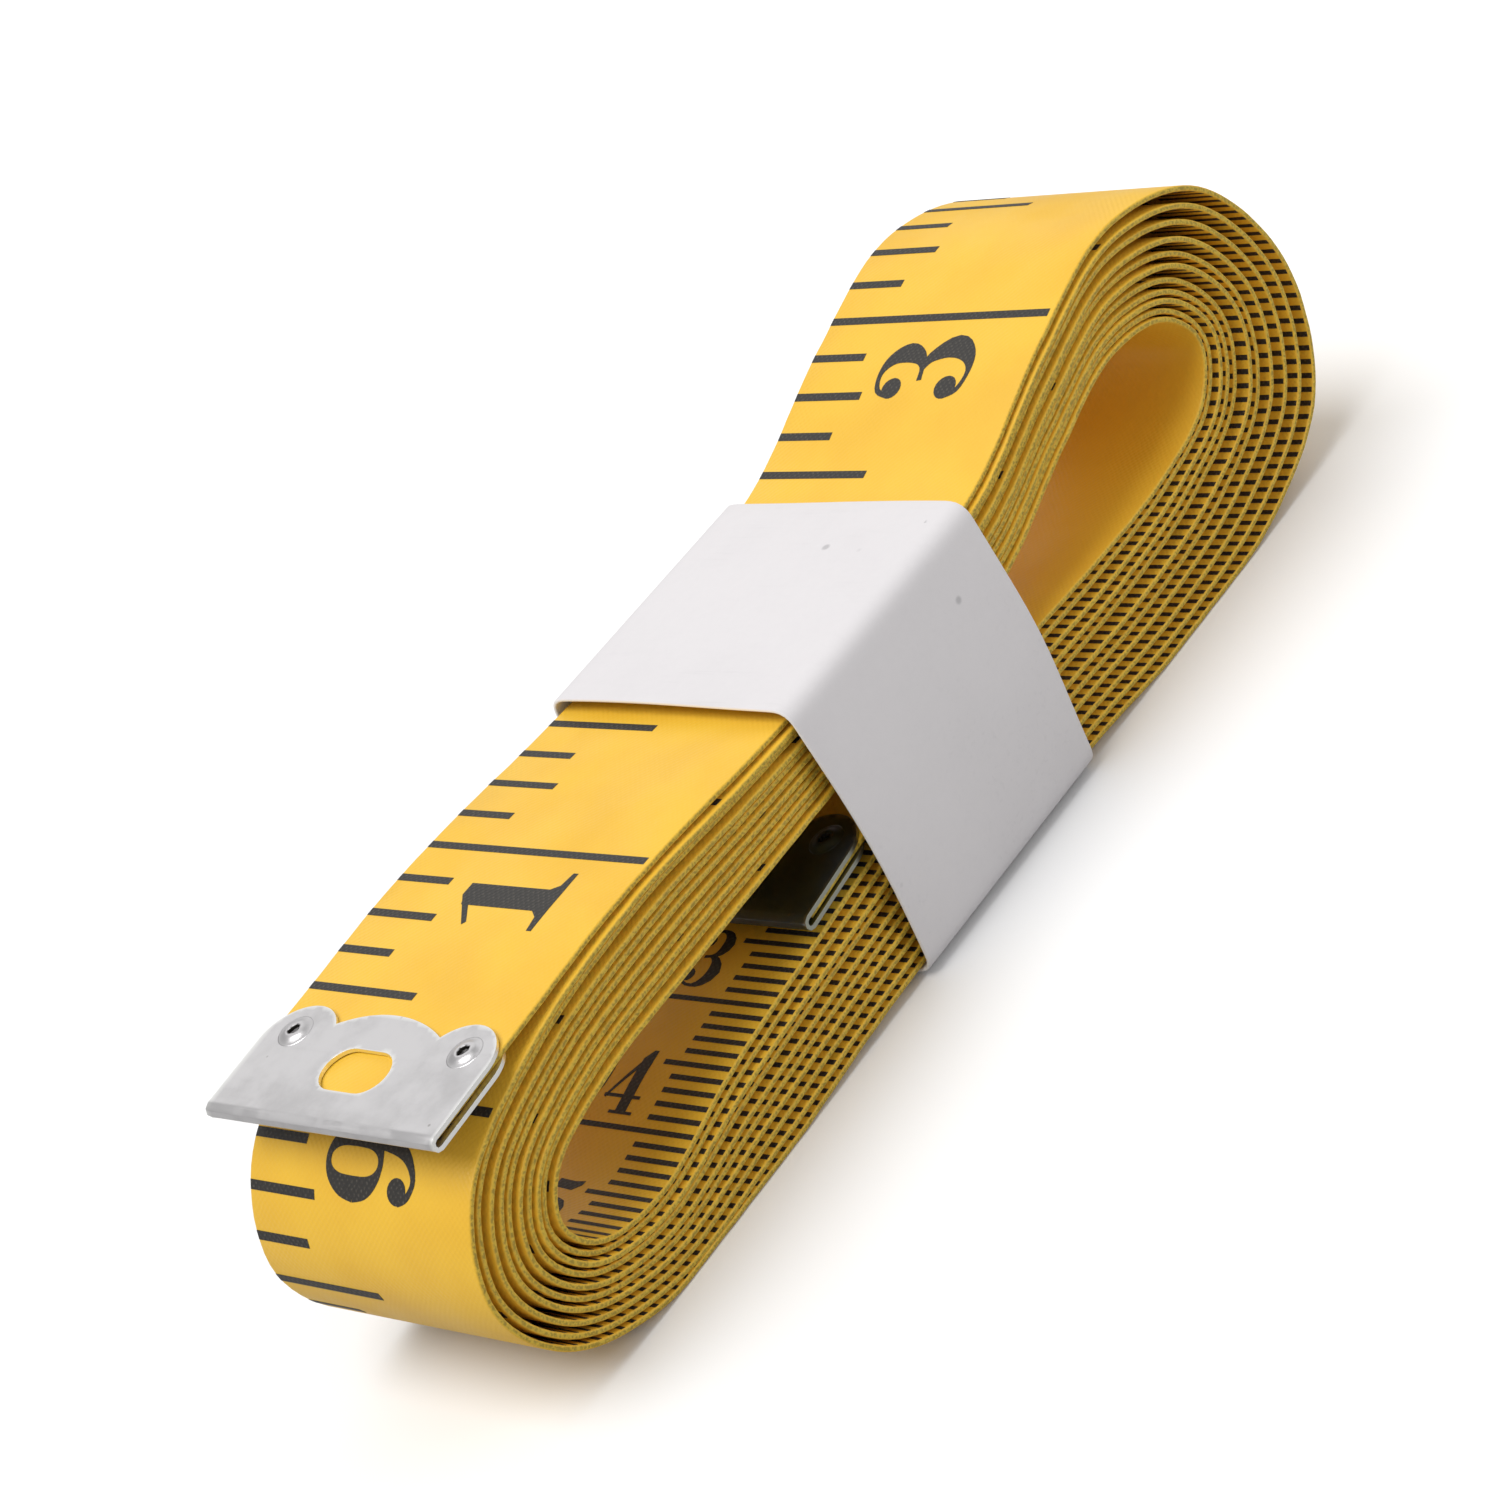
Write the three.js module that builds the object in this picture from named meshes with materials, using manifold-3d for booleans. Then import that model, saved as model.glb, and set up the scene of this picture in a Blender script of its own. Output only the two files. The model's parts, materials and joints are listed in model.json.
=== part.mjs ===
// A soft tailor's tape measure, wound into a long flat coil.
// A paper band holds the coil at its waist, and each end of the tape has a folded steel clip.
// Frame: millimetres, +X along the coil, +Y across the tape, +Z up.
// The origin is the middle of the coil's footprint, on the surface that it lies on.
import * as THREE from 'three';
import { mergeVertices } from 'three/addons/utils/BufferGeometryUtils.js';
import Module from 'manifold-3d';

const wasm = await Module();
wasm.setup();

// ---- Driving dimensions ----

// Tape
const TAPE_WIDTH = 20;
const TAPE_THICKNESS = 0.4;
const TURNS = 10.595; // from the waist's top left, where the loose end leaves the coil
const STEPS_PER_TURN = 44;
const JOINT_GAP = 0.3; // between the coil and the loose end, at the lift line

// The wound shape, clockwise as seen from -Y, from the top left of the waist.
// Each row: outermost wrap x, z; innermost wrap x, z; how much looser the outer wraps lie.
const WRAP_STATIONS = [
  [-13.5, 21.45, -13.5, 15.0, 0.0],
  [0, 21.0, -1, 15.2, 0.0],
  [13.3, 21.6, 12, 15.4, 0.1],
  [24.5, 25.3, 21.5, 18.4, 0.3],
  [35, 27.4, 29.5, 20.3, 0.4],
  [44.8, 23.7, 35.8, 18.8, 0.5],
  [49.75, 13.5, 38.1, 15.2, 0.5],
  [47, 4.3, 35.6, 11.7, 0.5],
  [38.5, 0.2, 28.5, 10.2, 0.4],
  [26, -0.7, 19.5, 10.2, 0.2],
  [13, 0.2, 8, 10.7, 0.0],
  [-1, 0.3, -5, 10.2, 0.0],
  [-14, 0.1, -16, 9.1, 0.1],
  [-26, -0.7, -26, 7.9, 0.2],
  [-38, -0.5, -35, 6.1, 0.2],
  [-46.6, 3.4, -40.2, 7.4, 0.2],
  [-49.9, 10.2, -41.8, 10.3, 0.2],
  [-46.7, 17.3, -40, 13.0, 0.2],
  [-38, 20.9, -34, 14.5, 0.1],
  [-26, 22.2, -24, 14.8, 0.0],
];

// The loose outer end: the path of its top face from its cut end to the lift line.
const FREE_END_PATH = [
  [-45.6, 21.3],
  [-36, 21.75],
  [-28, 22.15],
  [-20, 21.95],
  [-13.5, 21.45],
];
const FREE_END_STEPS = 24;

// The inner end rises over its last stretch, to make room for the clip under it.
const END_RISE = 0.9;
const END_RISE_LENGTH = 24;

// End clips
const CLIP_WIDTH = 20.8;
const CLIP_LENGTH = 9;
const CLIP_SHEET = 0.3;
const CLIP_GAP = 0.6;
const CLIP_OVERHANG = 0.7; // from the tape's cut end to the inside of the fold
const LOBE_RADIUS = 3.1;
const LOBE_CENTRE = 7.3;
const BUMP_RADIUS = 10;
const BUMP_SETBACK = 0.1;
const HOLE_LENGTH = 5.6;
const HOLE_WIDTH = 3.3;
const HOLE_FROM_FOLD = 4.4;
const EYELET_FROM_FOLD = 6.8;
const EYELET_SPACING = 15.4;
const EYELET_SHANK_RADIUS = 0.7;
const EYELET_BORE_RADIUS = 0.35;
const EYELET_HEAD_RADIUS = 1.15;
const EYELET_HEAD_HEIGHT = 0.35;
const EYELET_CLEARANCE = 0.1;

// Paper band
const BAND_LENGTH = 20.6;
const BAND_CENTRE = 1.0;
const PAPER = 0.35;
const BAND_SIDE_CLEARANCE = 0.55;
const BAND_HEIGHT = 22.4;
const BAND_CORNER = 1.4;

// ---- Finishes ----

const vinyl = new THREE.MeshStandardMaterial({ color: 0xf0c24a, roughness: 0.5, metalness: 0 });
const steel = new THREE.MeshStandardMaterial({ color: 0xc6c3c0, roughness: 0.35, metalness: 1 });
const paper = new THREE.MeshStandardMaterial({ color: 0xe9e5e6, roughness: 0.85, metalness: 0 });

// ---- Solid helpers ----

/** Turns a closed geometry into a manifold-3d solid. */
function toSolid(geometry) {
  const bare = geometry.clone();
  bare.deleteAttribute('normal');
  bare.deleteAttribute('uv');
  const merged = mergeVertices(bare, 1e-4);
  return new wasm.Manifold(new wasm.Mesh({
    numProp: 3,
    vertProperties: new Float32Array(merged.attributes.position.array),
    triVerts: new Uint32Array(merged.index.array),
  }));
}

/** Turns a manifold-3d solid back into a geometry. */
function toGeometry(solid) {
  const mesh = solid.getMesh();
  const geometry = new THREE.BufferGeometry();
  geometry.setAttribute('position', new THREE.BufferAttribute(mesh.vertProperties, 3));
  geometry.setIndex(new THREE.BufferAttribute(mesh.triVerts, 1));
  geometry.computeVertexNormals();
  return geometry;
}

/** Extrudes a side view drawn in x and z across the tape, centred on y = 0. */
function extrudeAcross(shape, width) {
  const geometry = new THREE.ExtrudeGeometry(shape, {
    depth: width,
    bevelEnabled: false,
    curveSegments: 10,
  });
  geometry.rotateX(Math.PI / 2);
  geometry.translate(0, width / 2, 0);
  return geometry;
}

/** Makes a named mesh. */
function makeMesh(name, geometry, material) {
  const mesh = new THREE.Mesh(geometry, material);
  mesh.name = name;
  return mesh;
}

// ---- The wound shape ----

const outermost = closedCurve(0, 1);
const innermost = closedCurve(2, 3);

/** A closed curve through two columns of the stations, with the looseness as its y. */
function closedCurve(columnX, columnZ) {
  const points = WRAP_STATIONS.map((row) => new THREE.Vector3(row[columnX], row[4], row[columnZ]));
  return new THREE.CatmullRomCurve3(points, true, 'centripetal');
}

/** The coil's outer face after a number of turns from the lift line. */
function coilPoint(turns) {
  const place = turns % 1;
  const outside = outermost.getPoint(place);
  const inside = innermost.getPoint(place);
  const wound = turns / TURNS;
  const depth = wound * (1 + outside.y * (1 - wound));
  const x = THREE.MathUtils.lerp(outside.x, inside.x, depth);
  const z = THREE.MathUtils.lerp(outside.z, inside.z, depth);
  return new THREE.Vector2(x, Math.max(z, 0));
}

/** Moves a path sideways by the tape's thickness, towards the inside of the coil. */
function insideFace(path) {
  return path.map((point, index) => {
    const before = path[Math.max(index - 1, 0)];
    const after = path[Math.min(index + 1, path.length - 1)];
    const along = after.clone().sub(before).normalize();
    return new THREE.Vector2(point.x + along.y * TAPE_THICKNESS, point.y - along.x * TAPE_THICKNESS);
  });
}

/** The middle of the tape's thickness, along a path. */
function middleLine(path) {
  const inside = insideFace(path);
  return path.map((point, index) => point.clone().add(inside[index]).multiplyScalar(0.5));
}

/** The side view of a strip of tape whose outer face follows a path. */
function stripShape(path) {
  return new THREE.Shape([...path, ...insideFace(path).reverse()]);
}

/** Lifts the end of a path smoothly, over a given length. */
function raiseEnd(path) {
  let fromEnd = 0;
  const raised = [path[path.length - 1].clone().add(new THREE.Vector2(0, END_RISE))];
  for (let index = path.length - 2; index >= 0; index -= 1) {
    fromEnd += path[index].distanceTo(path[index + 1]);
    const rise = END_RISE * (1 - THREE.MathUtils.smoothstep(fromEnd, END_RISE_LENGTH / 2, END_RISE_LENGTH));
    raised.unshift(path[index].clone().add(new THREE.Vector2(0, rise)));
  }
  return raised;
}

/** The coil's outer face, from the lift line to the inner end. */
function coilPath() {
  const steps = Math.round(TURNS * STEPS_PER_TURN);
  const path = [];
  for (let step = 0; step <= steps; step += 1) {
    path.push(coilPoint((step / steps) * TURNS));
  }
  path[0].x += JOINT_GAP;
  return raiseEnd(path);
}

/** The loose end's top face, from its cut end to the lift line. */
function freeEndPath() {
  const points = FREE_END_PATH.map(([x, z]) => new THREE.Vector2(x, z));
  return new THREE.SplineCurve(points).getPoints(FREE_END_STEPS);
}

// ---- End clips ----

/** The clip's plan, seen from above: fold at x = 0, three lobes at the far end. */
function clipPlan() {
  const half = CLIP_WIDTH / 2;
  const lobeX = CLIP_LENGTH - LOBE_RADIUS;
  const bumpX = CLIP_LENGTH - BUMP_SETBACK - BUMP_RADIUS;
  const plan = new THREE.Shape();
  const notch = notchAngles(lobeX, bumpX);
  plan.moveTo(-1, -half);
  plan.lineTo(lobeX, -half);
  plan.absarc(lobeX, -LOBE_CENTRE, LOBE_RADIUS, -Math.PI / 2, notch.lobe, false);
  plan.absarc(bumpX, 0, BUMP_RADIUS, -notch.bump, notch.bump, false);
  plan.absarc(lobeX, LOBE_CENTRE, LOBE_RADIUS, -notch.lobe, Math.PI / 2, false);
  plan.lineTo(-1, half);
  plan.closePath();
  return plan;
}

/** The angles at which a lobe's circle and the middle bump's circle meet. */
function notchAngles(lobeX, bumpX) {
  const apart = new THREE.Vector2(bumpX - lobeX, LOBE_CENTRE);
  const distance = apart.length();
  const fromLobe = (distance ** 2 + LOBE_RADIUS ** 2 - BUMP_RADIUS ** 2) / (2 * distance);
  const lobe = apart.angle() - Math.acos(fromLobe / LOBE_RADIUS);
  const meetX = lobeX + LOBE_RADIUS * Math.cos(lobe);
  const meetY = -LOBE_CENTRE + LOBE_RADIUS * Math.sin(lobe);
  return { lobe, bump: Math.atan2(-meetY, meetX - bumpX) };
}

/** The clip's side view: two leaves joined by a round fold, with the tape's mid plane at z = 0. */
function clipSide() {
  const inner = CLIP_GAP / 2;
  const outer = inner + CLIP_SHEET;
  const side = new THREE.Shape();
  side.moveTo(CLIP_LENGTH + 1, outer);
  side.lineTo(outer, outer);
  side.absarc(outer, 0, outer, Math.PI / 2, (3 * Math.PI) / 2, false);
  side.lineTo(CLIP_LENGTH + 1, -outer);
  side.lineTo(CLIP_LENGTH + 1, -inner);
  side.lineTo(outer, -inner);
  side.absarc(outer, 0, inner, (3 * Math.PI) / 2, Math.PI / 2, true);
  side.lineTo(CLIP_LENGTH + 1, inner);
  side.closePath();
  return side;
}

/** A slot-shaped cutter for the clip's window, long across the tape. */
function windowCutter() {
  const radius = HOLE_WIDTH / 2;
  const reach = (HOLE_LENGTH - HOLE_WIDTH) / 2;
  const slot = new THREE.Shape();
  slot.absarc(HOLE_FROM_FOLD, reach, radius, 0, Math.PI, false);
  slot.absarc(HOLE_FROM_FOLD, -reach, radius, Math.PI, 2 * Math.PI, false);
  slot.closePath();
  return standingPrism(slot);
}

/** Extrudes a plan view through both leaves. */
function standingPrism(plan) {
  const height = 4 * (CLIP_GAP + CLIP_SHEET);
  const geometry = new THREE.ExtrudeGeometry(plan, { depth: height, bevelEnabled: false, curveSegments: 8 });
  return toSolid(geometry.translate(0, 0, -height / 2));
}

/** A standing cylinder at one eyelet's place. */
function eyeletCutter(radius, side) {
  const hole = new THREE.Shape();
  hole.absarc(EYELET_FROM_FOLD, (side * EYELET_SPACING) / 2, radius, 0, 2 * Math.PI, false);
  return standingPrism(hole);
}

/** The folded clip with its lobes, window and eyelet holes. */
function clipGeometry() {
  let clip = toSolid(extrudeAcross(clipSide(), CLIP_WIDTH)).intersect(standingPrism(clipPlan()));
  clip = clip.subtract(windowCutter());
  for (const side of [-1, 1]) {
    clip = clip.subtract(eyeletCutter(EYELET_SHANK_RADIUS + EYELET_CLEARANCE, side));
  }
  return toGeometry(clip);
}

/** A hollow eyelet: a bored shank with a low domed head at each end. */
function eyeletGeometry() {
  const seat = CLIP_GAP / 2 + CLIP_SHEET + EYELET_CLEARANCE;
  const top = seat + EYELET_HEAD_HEIGHT;
  const shoulder = seat + EYELET_HEAD_HEIGHT * 0.55;
  const profile = [
    [EYELET_BORE_RADIUS, -top],
    [EYELET_HEAD_RADIUS * 0.75, -top],
    [EYELET_HEAD_RADIUS, -shoulder],
    [EYELET_HEAD_RADIUS, -seat],
    [EYELET_SHANK_RADIUS, -seat],
    [EYELET_SHANK_RADIUS, seat],
    [EYELET_HEAD_RADIUS, seat],
    [EYELET_HEAD_RADIUS, shoulder],
    [EYELET_HEAD_RADIUS * 0.75, top],
    [EYELET_BORE_RADIUS, top],
    [EYELET_BORE_RADIUS, -top],
  ].map(([radius, height]) => new THREE.Vector2(radius, height));
  return new THREE.LatheGeometry(profile, 14).rotateX(Math.PI / 2);
}

/** A clip with its two eyelets, as a group whose origin is the inside of the fold. */
function makeClip(name) {
  const group = new THREE.Group();
  group.add(makeMesh(name, clipGeometry(), steel));
  for (const [label, side] of [['near', -1], ['far', 1]]) {
    const eyelet = makeMesh(`${name}_eyelet_${label}`, eyeletGeometry(), steel);
    eyelet.position.set(EYELET_FROM_FOLD, (side * EYELET_SPACING) / 2, 0);
    group.add(eyelet);
  }
  return group;
}

/** Cuts the eyelets' two holes through a strip of tape that a clip is fixed to. */
function punchForClip(geometry, clip) {
  clip.updateMatrixWorld(true);
  let tape = toSolid(geometry);
  for (const side of [-1, 1]) {
    const cutter = toGeometry(eyeletCutter(EYELET_SHANK_RADIUS + EYELET_CLEARANCE, side));
    cutter.applyMatrix4(clip.matrixWorld);
    tape = tape.subtract(toSolid(cutter));
  }
  return toGeometry(tape);
}

/** Lays a clip on a cut end of the tape, given that end and the next point along its middle. */
function seatClip(clip, end, next) {
  const back = next.clone().sub(end).normalize();
  const fold = end.clone().addScaledVector(back, -(CLIP_OVERHANG + CLIP_SHEET));
  clip.position.set(fold.x, 0, fold.y);
  clip.rotation.y = -Math.atan2(back.y, back.x);
}

// ---- Paper band ----

/** A rectangle with rounded corners, seen along the coil, wound about the origin. */
function roundedRectangle(width, height, radius) {
  const shape = new THREE.Shape();
  const x = width / 2 - radius;
  const y = height / 2 - radius;
  shape.absarc(x, y, radius, 0, Math.PI / 2, false);
  shape.absarc(-x, y, radius, Math.PI / 2, Math.PI, false);
  shape.absarc(-x, -y, radius, Math.PI, (3 * Math.PI) / 2, false);
  shape.absarc(x, -y, radius, (3 * Math.PI) / 2, 2 * Math.PI, false);
  shape.closePath();
  return shape;
}

/** The band round the waist, as a closed sleeve. */
function bandGeometry() {
  const outerWidth = TAPE_WIDTH + 2 * (BAND_SIDE_CLEARANCE + PAPER);
  const section = roundedRectangle(outerWidth, BAND_HEIGHT, BAND_CORNER);
  section.holes.push(roundedRectangle(
    outerWidth - 2 * PAPER,
    BAND_HEIGHT - 2 * PAPER,
    BAND_CORNER - PAPER,
  ));
  const geometry = new THREE.ExtrudeGeometry(section, {
    depth: BAND_LENGTH,
    bevelEnabled: false,
    curveSegments: 6,
  });
  geometry.rotateX(Math.PI / 2);
  geometry.rotateZ(Math.PI / 2);
  geometry.translate(BAND_CENTRE - BAND_LENGTH / 2, 0, BAND_HEIGHT / 2);
  return geometry;
}

// ---- Assembly ----

const coil = coilPath();
const freeEnd = freeEndPath();

const coilMiddle = middleLine(coil);
const freeEndMiddle = middleLine(freeEnd);

const innerClip = makeClip('inner_clip');
seatClip(innerClip, coilMiddle.at(-1), coilMiddle.at(-3));
const outerClip = makeClip('outer_clip');
seatClip(outerClip, freeEndMiddle.at(0), freeEndMiddle.at(3));

const coilSolid = punchForClip(extrudeAcross(stripShape(coil), TAPE_WIDTH), innerClip);
const freeEndSolid = punchForClip(extrudeAcross(stripShape(freeEnd), TAPE_WIDTH), outerClip);

const group = new THREE.Group();
group.add(makeMesh('tape_coil', coilSolid, vinyl));
group.add(makeMesh('tape_free_end', freeEndSolid, vinyl));
group.add(innerClip);
group.add(outerClip);
group.add(makeMesh('paper_band', bandGeometry(), paper));

export default group;
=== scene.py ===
"""A soft tailor's tape measure, wound into a long flat coil.

The tape is coated cloth, printed in inches on its outer face and in millimetres on its inner face. A
card band holds the coil at its waist, and a folded steel clip covers each end of the tape.

Lengths inside the classes are millimetres. Meshes are written in metres, in the frame of the part:
+X along the coil, +Y across the tape and +Z up.
"""

from __future__ import annotations

import json
import logging
import math
from collections.abc import Callable, Iterable, Sequence
from dataclasses import dataclass, field
from enum import Enum

import bmesh
import bpy
import numpy as np
from mathutils import Matrix, Vector
from mathutils.geometry import delaunay_2d_cdt

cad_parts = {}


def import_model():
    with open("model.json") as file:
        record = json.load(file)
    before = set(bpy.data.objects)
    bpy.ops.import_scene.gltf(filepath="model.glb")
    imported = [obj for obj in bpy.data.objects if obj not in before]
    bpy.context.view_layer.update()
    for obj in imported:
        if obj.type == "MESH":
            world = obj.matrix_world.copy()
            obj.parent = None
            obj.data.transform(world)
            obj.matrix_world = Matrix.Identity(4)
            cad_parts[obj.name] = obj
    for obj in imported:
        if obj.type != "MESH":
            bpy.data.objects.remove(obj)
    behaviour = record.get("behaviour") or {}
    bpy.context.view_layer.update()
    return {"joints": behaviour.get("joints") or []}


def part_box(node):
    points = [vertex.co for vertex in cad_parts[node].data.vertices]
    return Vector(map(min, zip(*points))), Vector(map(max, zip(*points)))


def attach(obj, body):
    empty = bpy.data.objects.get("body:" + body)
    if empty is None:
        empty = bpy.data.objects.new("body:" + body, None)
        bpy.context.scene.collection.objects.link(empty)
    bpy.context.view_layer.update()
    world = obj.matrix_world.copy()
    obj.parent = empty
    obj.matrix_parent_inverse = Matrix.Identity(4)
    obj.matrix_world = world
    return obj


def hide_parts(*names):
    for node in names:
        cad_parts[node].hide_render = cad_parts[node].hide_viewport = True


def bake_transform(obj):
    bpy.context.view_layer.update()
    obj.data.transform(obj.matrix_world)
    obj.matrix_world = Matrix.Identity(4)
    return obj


MM = 0.001
LOG = logging.getLogger("tape_measure")


# ---------------------------------------------------------------- small tools


def new_object(
    name: str, mesh: bpy.types.Mesh, material: bpy.types.Material | None = None
) -> bpy.types.Object:
    """Links a mesh to the scene as an object at the origin.

    Args:
        name: The object's name.
        mesh: Its mesh, already in place.
        material: Its finish, where it has one of its own.

    Returns:
        The new object.
    """
    piece = bpy.data.objects.new(name, mesh)
    bpy.context.scene.collection.objects.link(piece)
    if material is not None:
        mesh.materials.append(material)
    return piece


def mesh_from(
    name: str, points: np.ndarray, faces: Sequence[Sequence[int]], smooth: bool = True
) -> bpy.types.Mesh:
    """Makes a mesh from points in millimetres.

    Args:
        name: The mesh's name.
        points: One row for each point.
        faces: Indices of each face's points.
        smooth: Whether its faces are shaded smooth.

    Returns:
        The mesh, in metres.
    """
    mesh = bpy.data.meshes.new(name)
    mesh.from_pydata((np.asarray(points) * MM).tolist(), [], [list(face) for face in faces])
    mesh.shade_smooth() if smooth else mesh.shade_flat()
    return mesh


def face_outwards(mesh: bpy.types.Mesh) -> None:
    """Recalculates a closed mesh's normals so that its faces point outwards."""
    work = bmesh.new()
    work.from_mesh(mesh)
    bmesh.ops.recalc_face_normals(work, faces=work.faces)
    work.to_mesh(mesh)
    work.free()


def read_points(mesh: bpy.types.Mesh) -> np.ndarray:
    """Reads a mesh's points as an array with one row for each."""
    flat = np.empty(len(mesh.vertices) * 3)
    mesh.vertices.foreach_get("co", flat)
    return flat.reshape(-1, 3)


def write_points(mesh: bpy.types.Mesh, points: np.ndarray) -> None:
    """Writes an array with one row for each point back to a mesh."""
    mesh.vertices.foreach_set("co", points.astype(float).ravel())
    mesh.update()


# ---------------------------------------------------------------- the wound shape


def closed_curve_point(points: np.ndarray, place: float) -> np.ndarray:
    """A point on a closed centripetal Catmull-Rom curve.

    Args:
        points: The points that the curve passes through.
        place: How far round the curve, from 0 to 1.

    Returns:
        The point.
    """
    count = len(points)
    run = (place % 1.0) * count
    index = int(run)
    weight = run - index
    before, start, end, after = (points[(index + step) % count] for step in (-1, 0, 1, 2))
    gap_in, gap, gap_out = (
        math.sqrt(max(float(np.linalg.norm(b - a)), 1e-9))
        for a, b in ((before, start), (start, end), (end, after))
    )
    slope_start = (start - before) / gap_in - (end - before) / (gap_in + gap) + (end - start) / gap
    slope_end = (end - start) / gap - (after - start) / (gap + gap_out) + (after - end) / gap_out
    slope_start = slope_start * gap
    slope_end = slope_end * gap
    squared = weight * weight
    return (
        start
        + slope_start * weight
        + (3 * (end - start) - 2 * slope_start - slope_end) * squared
        + (2 * (start - end) + slope_start + slope_end) * squared * weight
    )


def resample(path: np.ndarray, step: float) -> np.ndarray:
    """Spaces a path's points evenly.

    Args:
        path: Points in a plane.
        step: The wanted spacing.

    Returns:
        The path with even steps and the same ends.
    """
    lengths = np.concatenate([[0.0], np.cumsum(np.hypot(*np.diff(path, axis=0).T))])
    count = max(int(round(lengths[-1] / step)), 2)
    wanted = np.linspace(0.0, lengths[-1], count + 1)
    return np.stack([np.interp(wanted, lengths, path[:, axis]) for axis in (0, 1)], axis=1)


def soften(path: np.ndarray, reach: int) -> np.ndarray:
    """Rounds small kinks in a path with a running average, and keeps its ends.

    Args:
        path: Points in a plane.
        reach: How many points to each side are averaged.

    Returns:
        The softened path.
    """
    kernel = np.hanning(2 * reach + 3)[1:-1]
    kernel = kernel / kernel.sum()
    lead_in = 2 * path[0] - path[reach:0:-1]
    lead_out = 2 * path[-1] - path[-2:-reach - 2:-1]
    padded = np.vstack([lead_in, path, lead_out])
    return np.stack([np.convolve(padded[:, axis], kernel, mode="valid") for axis in (0, 1)], axis=1)


@dataclass
class BendLine:
    """The line that the middle of a strip's thickness follows, with the direction that it faces.

    Attributes:
        points: Points of the line, in millimetres, in the plane that the strip bends in.
        lengths: The length along the line to each point.
        normals: The unit direction in which the strip's outer face points.
    """

    points: np.ndarray
    lengths: np.ndarray = field(init=False)
    normals: np.ndarray = field(init=False)

    def __post_init__(self) -> None:
        """Works out the lengths and the outward directions."""
        steps = np.diff(self.points, axis=0)
        self.lengths = np.concatenate([[0.0], np.cumsum(np.hypot(*steps.T))])
        along = np.gradient(self.points, axis=0)
        along = along / np.linalg.norm(along, axis=1)[:, None]
        self.normals = np.stack([-along[:, 1], along[:, 0]], axis=1)

    @property
    def length(self) -> float:
        """The whole length of the line."""
        return float(self.lengths[-1])

    def place(self, along: np.ndarray, height: np.ndarray) -> np.ndarray:
        """Bends flat places to the line.

        Args:
            along: Lengths along the line.
            height: Distances from the line, towards the outer face.

        Returns:
            Points in the plane of the bend.
        """
        bent = []
        for axis in (0, 1):
            centre = np.interp(along, self.lengths, self.points[:, axis])
            normal = np.interp(along, self.lengths, self.normals[:, axis])
            bent.append(centre + normal * height)
        return np.stack(bent, axis=1)


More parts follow.
